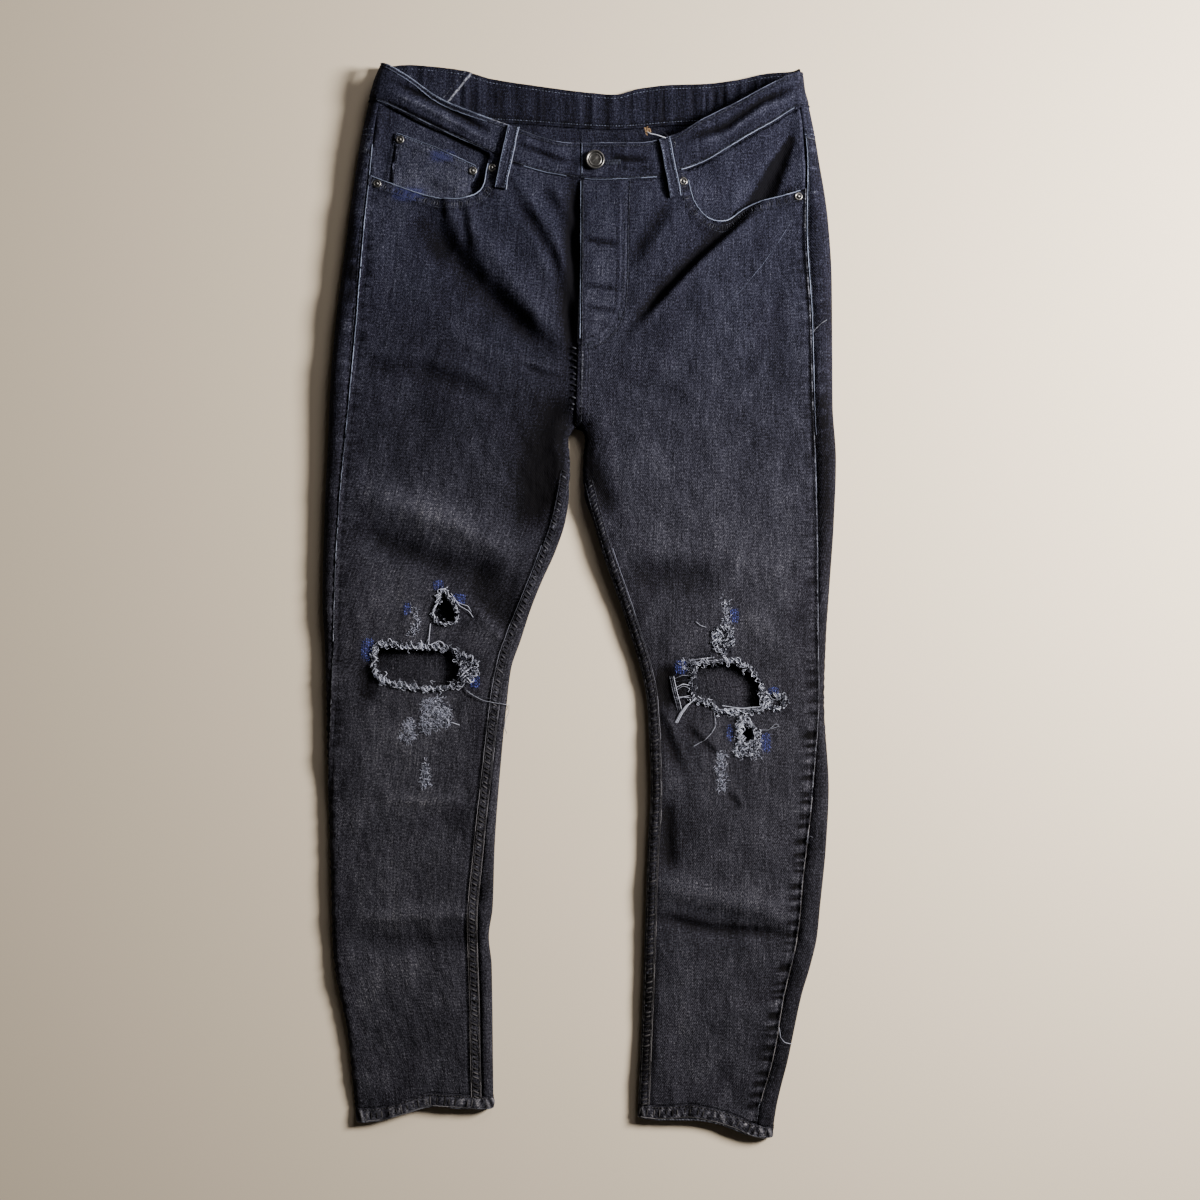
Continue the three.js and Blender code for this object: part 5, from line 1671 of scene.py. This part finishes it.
ridges("hem_puckers", [
    pucker_bars(across(HEM_RIGHT_TOP, -219, -96, -7.2), 0, 8.5, 6.2, 0.9, 14, 0.1),
    pucker_bars(across(HEM_LEFT_TOP, 64, 192, -7.2), 0, 8.5, 6.2, 0.9, 15, 0.1),
], 0.7)
ridges("mouth_puckers", [
    pucker_bars(MOUTH_RIGHT, -5.8, 4.6, 2.6, 0.55, 12, 0.2),
    pucker_bars(MOUTH_LEFT, 5.8, 4.6, 2.6, 0.55, 13, 0.2),
], 0.45, sink=0.3)
ridges("inseam_puckers", [
    pucker_bars(INSEAM_RIGHT, 5.6, 6.0, 5.0, 1.2, 1, 0.5),
    pucker_bars(INSEAM_LEFT, -5.6, 6.0, 5.0, 1.2, 2, -0.5),
    pucker_bars([(1, 258), (0.5, 190)], -5.8, 5.0, 6.0, 1.4, 5, 0.4),
], 0.8)


def on_back_band(x, y, lift):
    share = np.clip((y - curve(BACK_SEAM)(x)) / 43, 0, 1)
    thick = BAND + 0.9 * np.sin(np.pi * share) + 1.3 * smooth(flap_at(x, y) / 1.6)
    return np.stack([x, y, SEAT_LIFT + thick + np.asarray(lift)], -1)


inner_rows = [
    stitch_row(across(BACK_TOP, -196, 222, -4.2), pitch=3.4, lift=0.0),
    stitch_row(across(BACK_SEAM, -150, 200, 3.6), pitch=2.9, lift=-0.1),
]
inner_yoke_rows = [stitch_row(across(BACK_SEAM, -150, 180, -2.4), pitch=2.9)]
stitches("back_band_stitching", inner_rows, DIM_THREAD, 0.34, on_back_band)


def on_inner_yoke(x, y, lift):
    return np.stack([x, y, np.full(x.shape, SEAT_LIFT + CLOTH + 0.2)], -1)


inner_yoke_rows += [stitch_row([(x, 484), (x, 440)], pitch=2.9) for x in (-3.0, 3.0)]
stitches("inner_yoke_stitching", inner_yoke_rows, SEAM_THREAD, 0.36, on_inner_yoke)

back_rows = []
for rise in (-2.5, -8.0):
    back_rows.append(stitch_row([(-206, 474 + rise), (0, 418 + rise), (206, 470 + rise)]))
for side in (2.5, 8.0):
    back_rows.append(stitch_row([(side, 414), (side, 210)]))
stitches("back_stitching", back_rows, SEAM_THREAD, 0.36, under)
pocket_rows = []
for shape in (BACK_POCKET, mirrored):
    points = np.array(shape, float)
    middle = points.mean(0)
    for inset in (0.955, 0.87):
        ring_line = (middle + (points - middle) * inset).tolist()
        pocket_rows.append(stitch_row(ring_line + ring_line[:1]))
for outline in BACK_LOOPS.values():
    a, b, c, d = [np.array(p, float) for p in outline]
    for t in (0.2, 0.8):
        pocket_rows.append(stitch_row([tuple(mix(a, b, t)), tuple(mix(d, c, t))]))
stitches("back_pocket_stitching", pocket_rows, SEAM_THREAD, 0.3, on_pocket)

worn_rows = [
    stitch_row(across(FRONT_TOP, -200, -90, -1.0), pitch=2.2, lift=BAND_PROUD + 0.1),
    stitch_row(offset(COIN_TOP, -1.2), pitch=2.4, lift=-1.3),
]
loop_rows = []
for low, high, width in [((-79.5, 422), (-66, 480), 12.5), ((98, 413), (86.5, 468), 12.0)]:
    for moved in (-0.36, 0.36):
        shifted = offset([low, high], moved * width)
        loop_rows.append(stitch_row(shifted, pitch=2.7, lift=BAND_PROUD + 4.9))
stitches("worn_stitching", worn_rows + loop_rows, WORN_THREAD, 0.36)


def worn_edge(line, lift, seed, steps=14):
    """A rubbed, rolled edge in short lengths, as paths."""
    points, along = resample(line, 1.2)
    uneven = np.random.default_rng(seed)
    pieces = []
    for start in range(0, len(points) - steps, steps - 2):
        part = slice(start, start + steps)
        plan = points[part] + left_of(along[part]) * uneven.normal(0, 0.12, steps)[:, None]
        pieces.append(place(plan[:, 0], plan[:, 1], lift + uneven.normal(0, 0.1, steps)))
    return np.array(pieces)


def rubbed(name, radius, material, sides, lines):
    """One piece of rubbed edges, each given by its line, lift and seed."""
    paths = [worn_edge(line, lift, seed) for line, lift, seed in lines]
    tubes(name, np.concatenate(paths), radius, material, sides=sides, tapered=False)


rubbed("rubbed_mouths", 0.52, WORN_EDGE, 6, [
    (soften(rounded(offset(MOUTH_RIGHT, -0.4), 2.0), 14), 1.0, 1),
    (soften(rounded(offset(MOUTH_LEFT, 0.4), 2.0), 14), 0.8, 2),
])
rubbed("rubbed_edges", 0.42, WORN_EDGE, 6, [
    (FLY_EDGE, 1.4, 5),
    (across(FRONT_TOP, -204, -78, -0.2), BAND_PROUD + 0.3, 4),
    (across(FRONT_SEAM, 104, 222, 1.4), BAND_PROUD + 0.5, 17),
])
rubbed("rubbed_coin_edge", 0.4, WORN_THREAD, 6, [(COIN_TOP, -0.5, 3)])
rubbed("rubbed_side_seams", 0.36, WORN_THREAD, 5, [
    (across(FRONT_SEAM, -56, -6, 1.4), BAND_PROUD + 0.6, 19),
    (across(FRONT_SEAM, 6, 80, 1.4), BAND_PROUD + 0.6, 20),
    (seam_of(-1, RIGHT_OUTSEAM, -40, 474), 0.9, 6),
    (seam_of(1, LEFT_OUTSEAM, -512, -190), 0.95, 7),
    (offset(seam_of(1, LEFT_OUTSEAM, 170, 474), -1.6), 0.8, 8),
    (across(FRONT_TOP, -196, -90, -4.4), BAND_PROUD + 0.7, 15),
    ([(3, 466), (3, 431)], BAND_PROUD + 0.6, 16),
])
# How a loop's edge arches: share of its length, height over the waistband.
ARCH = [(0.0, 2.1), (0.06, 3.4), (0.12, 4.8), (0.88, 4.8), (0.94, 3.4), (1.0, 2.1)]
loop_lines = []
for (low, high, _, _), reaches in zip(FRONT_LOOPS.values(), [(5.7, -5.5), (5.5, -5.3)]):
    for reach in reaches:
        edge_line = offset([low, high], -reach)
        stations = [mix(edge_line[0], edge_line[-1], share) for share, _ in ARCH]
        loop_lines.append(loose_thread(stations, [BAND_PROUD + height for _, height in ARCH]))
tubes("rubbed_loops", np.concatenate(loop_lines), 0.42, WORN_THREAD, tapered=False)
rubbed("rubbed_hip_seams", 0.44, WORN_EDGE, 5, [
    (seam_of(-1, RIGHT_OUTSEAM, 205, 474), 1.0, 28),
    (offset(seam_of(1, LEFT_OUTSEAM, 225, 474), -1.6), 0.9, 29),
])
SCRATCH = [(218, 391), (203, 366), (186, 342), (163, 315), (140, 291)]
tubes("scratch", worn_edge(SCRATCH, 0.12, 22), 0.17, DIM_THREAD)
rubbed("rubbed_inseams", 0.3, DIM_THREAD, 4, [
    (across(FRONT_TOP, -78, -6, -0.6), BAND_PROUD + 0.3, 23),
    (across(FRONT_TOP, 6, 100, -0.6), BAND_PROUD + 0.3, 24),
    ([(-102, 442), (-105, 434), (-109, 425)], -0.9, 25),
    (across(HEM_RIGHT_TOP, -219, -96, -12.5), 1.1, 26),
    (across(HEM_LEFT_TOP, 64, 192, -12.5), 1.1, 27),
    (across(FRONT_SEAM, -204, -90, 1.4), BAND_PROUD + 0.5, 18),
    (across(FRONT_TOP, 110, 222, -0.6), BAND_PROUD + 0.3, 21),
    (offset(seam_of(-1, RIGHT_INSEAM, -508, -90), 0.8), 1.15, 9),
    (offset(seam_of(-1, RIGHT_INSEAM, -508, 60), 10.6), 1.1, 10),
    (offset(seam_of(1, LEFT_INSEAM, -515, 60), -0.9), 1.15, 11),
    (offset(seam_of(1, LEFT_INSEAM, -515, 60), -10.4), 1.05, 12),
    (seam_of(-1, RIGHT_OUTSEAM, -300, -40), 0.7, 13),
    (seam_of(1, LEFT_OUTSEAM, -190, 170), 0.7, 14),
])


def bar_tack(a, b, lift, width=3.0):
    """Close stitches across a line from a to b."""
    points, along = resample([a, b], 0.75)
    side = left_of(along) * width / 2
    return points - side, points + side, np.full(len(points), lift)


tacks = [
    bar_tack((41, 303), (41, 287), 0.5), bar_tack((6, 262), (14, 264), 0.5),
    bar_tack((-84, 424), (-76, 421), 3.0), bar_tack((93, 414), (102, 415), 3.0),
    bar_tack((-70, 478), (-62, 480), 3.2), bar_tack((-187, 471), (-183, 476), -1.0),
]
stitches("bar_tacks", tacks, SEAM_THREAD, 0.34)


# ---- Mending ------------------------------------------------------------------------------------
rng = np.random.default_rng(7)
darned = []
for cx, cy, wide, tall in DARNS[:10]:
    darned += darn_rows(rng, (cx, cy), wide * 0.8, tall * 0.8)
stitches("mending", darned, BLUE_THREAD, 0.34)


# ---- Frays --------------------------------------------------------------------------------------
# Tangles of torn yarn beside the tears, as outlines.
TANGLE_RIGHT = [(-117, -54), (-108, -60), (-105, -68), (-110, -78), (-118, -82), (-121, -70)]
RING_ABOVE = [(139, -30), (151, -27), (157, -34), (154, -46), (149, -53), (140, -46)]
RING_BESIDE = [(192, -97), (203, -95), (211, -99), (203, -110), (193, -108)]
RING_BELOW = [(163, -120), (175, -124), (182, -135), (180, -152), (172, -157), (160, -153), (165, -140)]
# Places where only the pale cross threads are left: the outline, and how densely the threads lie.
PATCHES = [
    ([(-161, -99), (-140, -97), (-131, -112), (-132, -126), (-150, -131), (-162, -136)], 0.27),
    ([(-170, -117), (-167, -136), (-174, -145), (-184, -143), (-180, -125)], 0.27),
    ([(-157, -162), (-152, -176), (-154, -189), (-161, -190), (-162, -176)], 0.3),
    ([(-172, -3), (-166, -6), (-163, -20), (-168, -34), (-174, -35), (-170, -20)], 0.2),
    ([(147, 6), (153, 2), (156, -22), (148, -22)], 0.2),
    ([(158, -146), (186, -140), (186, -160), (158, -158)], 0.15),
    ([(141, -151), (150, -155), (151, -180), (150, -193), (142, -195), (140, -175)], 0.2),
    ([(104, -60), (122, -60), (120, -68), (104, -70)], 0.16),
]
frays = []
yarns = []
# Each rim's outline, its number of wound yarns and their width, its curly threads per mm and their length.
for outline, strands, wide, density, length in [
    (TEAR_RIGHT_KNEE, 3, 1.4, 1.3, 9), (TEAR_RIGHT_SMALL, 2, 0.9, 0.9, 7), (TEAR_LEFT_KNEE, 3, 1.2, 1.2, 9),
    (TEAR_LEFT_SMALL, 1, 0.8, 0.5, 7), (TANGLE_RIGHT, 2, 2.0, 1.5, 9), (RING_ABOVE, 2, 1.8, 1.4, 8),
    (RING_BESIDE, 2, 1.6, 1.4, 8), (RING_BELOW, 2, 1.6, 1.4, 8),
]:
    torn = outline in TEARS
    rim = outline + outline[:1]
    yarns.append(twisted_rim(rng, rim, strands, wide, 8.0, 1.8 if torn else 0.0))
    frays.append(fray_rim(rng, rim, density, 3.2, length, 1.9, inward=-2.2 if torn else 0.0))
for outline in (TANGLE_RIGHT, RING_ABOVE):
    middle = np.mean(outline, 0)
    inner = [tuple(mix(middle, np.array(corner), 0.45)) for corner in outline]
    yarns.append(twisted_rim(rng, inner + inner[:1], 2, 1.8, 6.0, 0.4))
    frays.append(fray_rim(rng, inner + inner[:1], 0.5, 3.0, 8, 1.6, inward=0.0))
weave = []
for outline, density in PATCHES:
    frays.append(fray_patch(rng, outline, 0.12 * density, 6.0, 1.6))
    weave.append(fray_patch(rng, outline, 3.2 * density, 3.6, 0.5, steps=8))
tubes("bared_weave", np.concatenate(weave), 0.2, MESH_THREAD, sides=3)
tubes("frays", np.concatenate(frays), 0.28, FRAY_THREAD, sides=3)
tubes("torn_yarns", np.concatenate(yarns), 0.36, FRAY_THREAD, sides=5)

# Threads that still span the torn corner of the left knee.
ladder = []
for y, dip in [(-76, 2), (-79, -1), (-86, 3), (-89, 4), (-95, -1), (-98, 2), (-100, 3)]:
    ladder.append(loose_thread([(97, y - 3), (106, y - 1 + dip), (117, y)], [0.6, 1.6, 1.2]))
for y in (-55, -58, -61, -63):
    ladder.append(loose_thread([(113, y - 2), (125, y), (138, y + 1)], [0.8, 1.8, 1.2]))
for x in (93, 95, 97):
    line = [(x, -76), (x + 3, -90), (x + 6, -102), (x + 8, -111)]
    ladder.append(loose_thread(line, [0.6, 1.2, 1.2, 0.6]))
for x in (115, 117, 119, 120):
    ladder.append(loose_thread([(x - 1, -62), (x + 1, -80), (x - 1, -99)], [1.6, 2.2, 1.6]))
for gap in (0, 1.2, 2.6):
    line = [(119, -100 + gap), (109 + gap, -106), (103 + gap, -114), (98 + gap, -124)]
    ladder.append(loose_thread(line, [2, 2.6, 2, 0.8]))
# Long loose threads: the line, and the lift at each of its points.
STRANDS = [
    ([(-121, -84), (-112, -93), (-97, -101), (-80, -104), (-72, -106), (-75, -112), (-78, -121),
      (-79, -130), (-77, -136)], [0.8, 2.5, 2.5, 2.2, 2.5, 3, 3, 3, 3]),
    ([(-122, -82), (-108, -95), (-90, -99), (-76, -105), (-73, -112)], [2, 2.5, 2, 1.5, 0.6]),
    ([(-131, 9), (-122, -4), (-112, -9), (-108, -16)], [0.8, 2.5, 2, 0.4]),
    ([(-132, 4), (-120, -2), (-113, -4), (-110, -10)], [0.8, 2, 1.5, 0.6]),
    ([(-152, -22), (-153, -34), (-154, -45), (-148, -42), (-142, -39), (-137, -44), (-139, -52)],
      [0.8, 1.5, 2, 2, 2.5, 1.5, 0.4]),
    ([(-146, -101), (-135, -106), (-125, -111)], [0.6, 1.2, 0.3]),
    ([(-131, -123), (-122, -126)], [0.5, 0.3]),
    ([(138, -112), (140, -126), (135, -135), (128, -142), (117, -148)], [1, 2, 1.6, 1.2, 0.8]),
    ([(184, -131), (194, -131), (201, -124), (205, -127), (196, -130)], [0.6, 2, 2, 1.5, 0.6]),
    ([(130, -26), (124, -24), (119, -20)], [0.6, 1.4, 1]),
    ([(99, -74), (96, -80), (98, -92), (104, -106)], [0.6, 0.4, 0.4, 0.6]),
    ([(145, -108), (165, -107), (188, -109)], [1, 1.6, 1]),
    ([(145, -110), (165, -109), (188, -107)], [1.4, 2, 1.4]),
    ([(146, -106), (166, -109), (189, -110)], [1.8, 1.4, 1.8]),
    ([(236, 272), (241, 278), (246, 283), (252, 287)], [0.4, 0.8, 0.8, 0.6]),
    ([(205, -436), (206, -446), (210, -451), (217, -453)], [1, 2.5, 3, 3]),
    ([(234, -247), (234, -242), (236, -239), (239, -241)], [1, 2, 2.5, 2]),
]
strands = [loose_thread(line, lift) for line, lift in STRANDS]
tubes("loose_threads", np.concatenate(strands + ladder), 0.33, FRAY_THREAD)
top_threads = [
    loose_thread([(92, 470), (84, 476), (76, 478)], [4.6, 6, 5]),
    loose_thread([(94, 468), (98, 464), (96, 458)], [4.8, 5.5, 4.6]),
    loose_thread([(88, 470), (80, 472), (72, 474), (68, 477)], [4.6, 5.5, 5, 3]),
]
tubes("torn_loop_threads", np.concatenate(top_threads), 0.5, FRAY_THREAD)
tan_ends = fray_patch(rng, [(66, 476), (68, 479), (72, 479), (73, 476)], 1.2, 4, 1.0)
tubes("torn_loop_lining", tan_ends + np.array([0, 0, 3.0]), 0.5, TAN_THREAD)


# ---- Metal --------------------------------------------------------------------------------------
def lathe(name, node, profile, x, y, lift, material, turns=48):
    """A turned piece that stands on the upper layer."""
    angle = np.arange(turns) * 2 * np.pi / turns
    radius = np.array([p[0] for p in profile])[:, None]
    height = np.array([p[1] for p in profile])[:, None]
    base = place(np.array([x]), np.array([y]), np.array([0.0]))[0]
    points = np.stack([base[0] + radius * np.cos(angle), base[1] + radius * np.sin(angle),
                       np.broadcast_to(base[2] + lift + height, (len(profile), turns))], -1)
    faces = grid_faces(len(profile), turns, closed=True)
    piece = make_mesh(name, points.reshape(-1, 3), faces, material)
    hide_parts(node)
    return piece


BUTTON_PROFILE = [
    (0.01, 0), (3.8, 0), (4.0, 1.2), (8.5, 1.2), (9.3, 1.5), (9.6, 2.1), (9.5, 2.9), (9.0, 3.35),
    (8.5, 3.4), (7.9, 3.3), (7.4, 2.7), (6.9, 2.55), (6.5, 2.6), (6.2, 2.9), (5.8, 2.95), (5.5, 2.7),
    (5.1, 2.65), (2.6, 2.8), (0.01, 2.9),
]
lathe("shank_button", "button", BUTTON_PROFILE, 16.5, 448, 1.6, BUTTON_METAL)
RIVET_PROFILE = [
    (0.01, 0), (4.1, 0), (4.3, 0.25), (4.2, 0.6), (3.8, 0.95), (3.2, 1.1), (2.6, 0.95), (2.1, 0.6),
    (1.8, 0.55), (1.55, 0.9), (1.45, 1.5), (1.2, 1.75), (0.01, 1.85),
]
for node, x, y, lift in [
    ("rivet_coin_outer", -182, 470, -1.3), ("rivet_coin_inner", -108, 438.5, -1.3),
    ("rivet_right_side", -205.5, 425.5, 0.2), ("rivet_right_front", -88.5, 441, 0.2),
    ("rivet_left_front", 106, 427, 0.2), ("rivet_left_side", 223, 412, 0.2),
]:
    lathe(node + "_metal", node, RIVET_PROFILE, x, y, lift, RIVET_METAL, turns=36)

hole_edge = []
for side in (-1, 1):
    hole_edge.append(bar_tack((26, 446 + 1.4 * side), (42, 446 + 1.0 * side), BAND_PROUD + 1.2, 2.4))
stitches("buttonhole", hole_edge, SEAM_THREAD, 0.4)


# ---- Floor and light ----------------------------------------------------------------------------
def make_floor():
    mesh = bpy.data.meshes.new("floor")
    mesh.from_pydata([(-6, -6, 0), (6, -6, 0), (6, 6, 0), (-6, 6, 0)], [], [(0, 1, 2, 3)])
    floor = bpy.data.objects.new("floor", mesh)
    bpy.context.scene.collection.objects.link(floor)
    paint = Shader("pale_floor", Roughness=0.9, Specular_IOR_Level=0.2)
    paint.surface.inputs["Base Color"].default_value = (0.8, 0.72, 0.6, 1)
    mesh.materials.append(paint.material)


def area_light(name, place_at, aim, size, power, colour):
    """A soft round light, turned towards a point. Places are in metres."""
    light = bpy.data.lights.new(name, "AREA")
    light.shape = "DISK"
    light.size = size
    light.energy = power
    light.color = colour
    lamp = bpy.data.objects.new(name, light)
    bpy.context.scene.collection.objects.link(lamp)
    lamp.location = place_at
    direction = np.array(aim) - np.array(place_at)
    yaw = math.atan2(direction[1], direction[0])
    tilt = math.atan2(math.hypot(direction[0], direction[1]), -direction[2])
    lamp.rotation_euler = (tilt, 0, yaw - math.pi / 2)


make_floor()
area_light("window", (1.32, 0.44, 0.88), (0.05, 0.05, 0), 0.45, 82, (1.0, 0.91, 0.8))
area_light("sky", (0.7, 1.5, 1.3), (0.05, 0.1, 0), 0.8, 9, (1.0, 0.9, 0.8))
world = bpy.data.worlds.new("room")
bpy.context.scene.world = world
world.use_nodes = True
world.node_tree.nodes["Background"].inputs["Color"].default_value = (1.0, 0.86, 0.7, 1)
world.node_tree.nodes["Background"].inputs["Strength"].default_value = 0.02
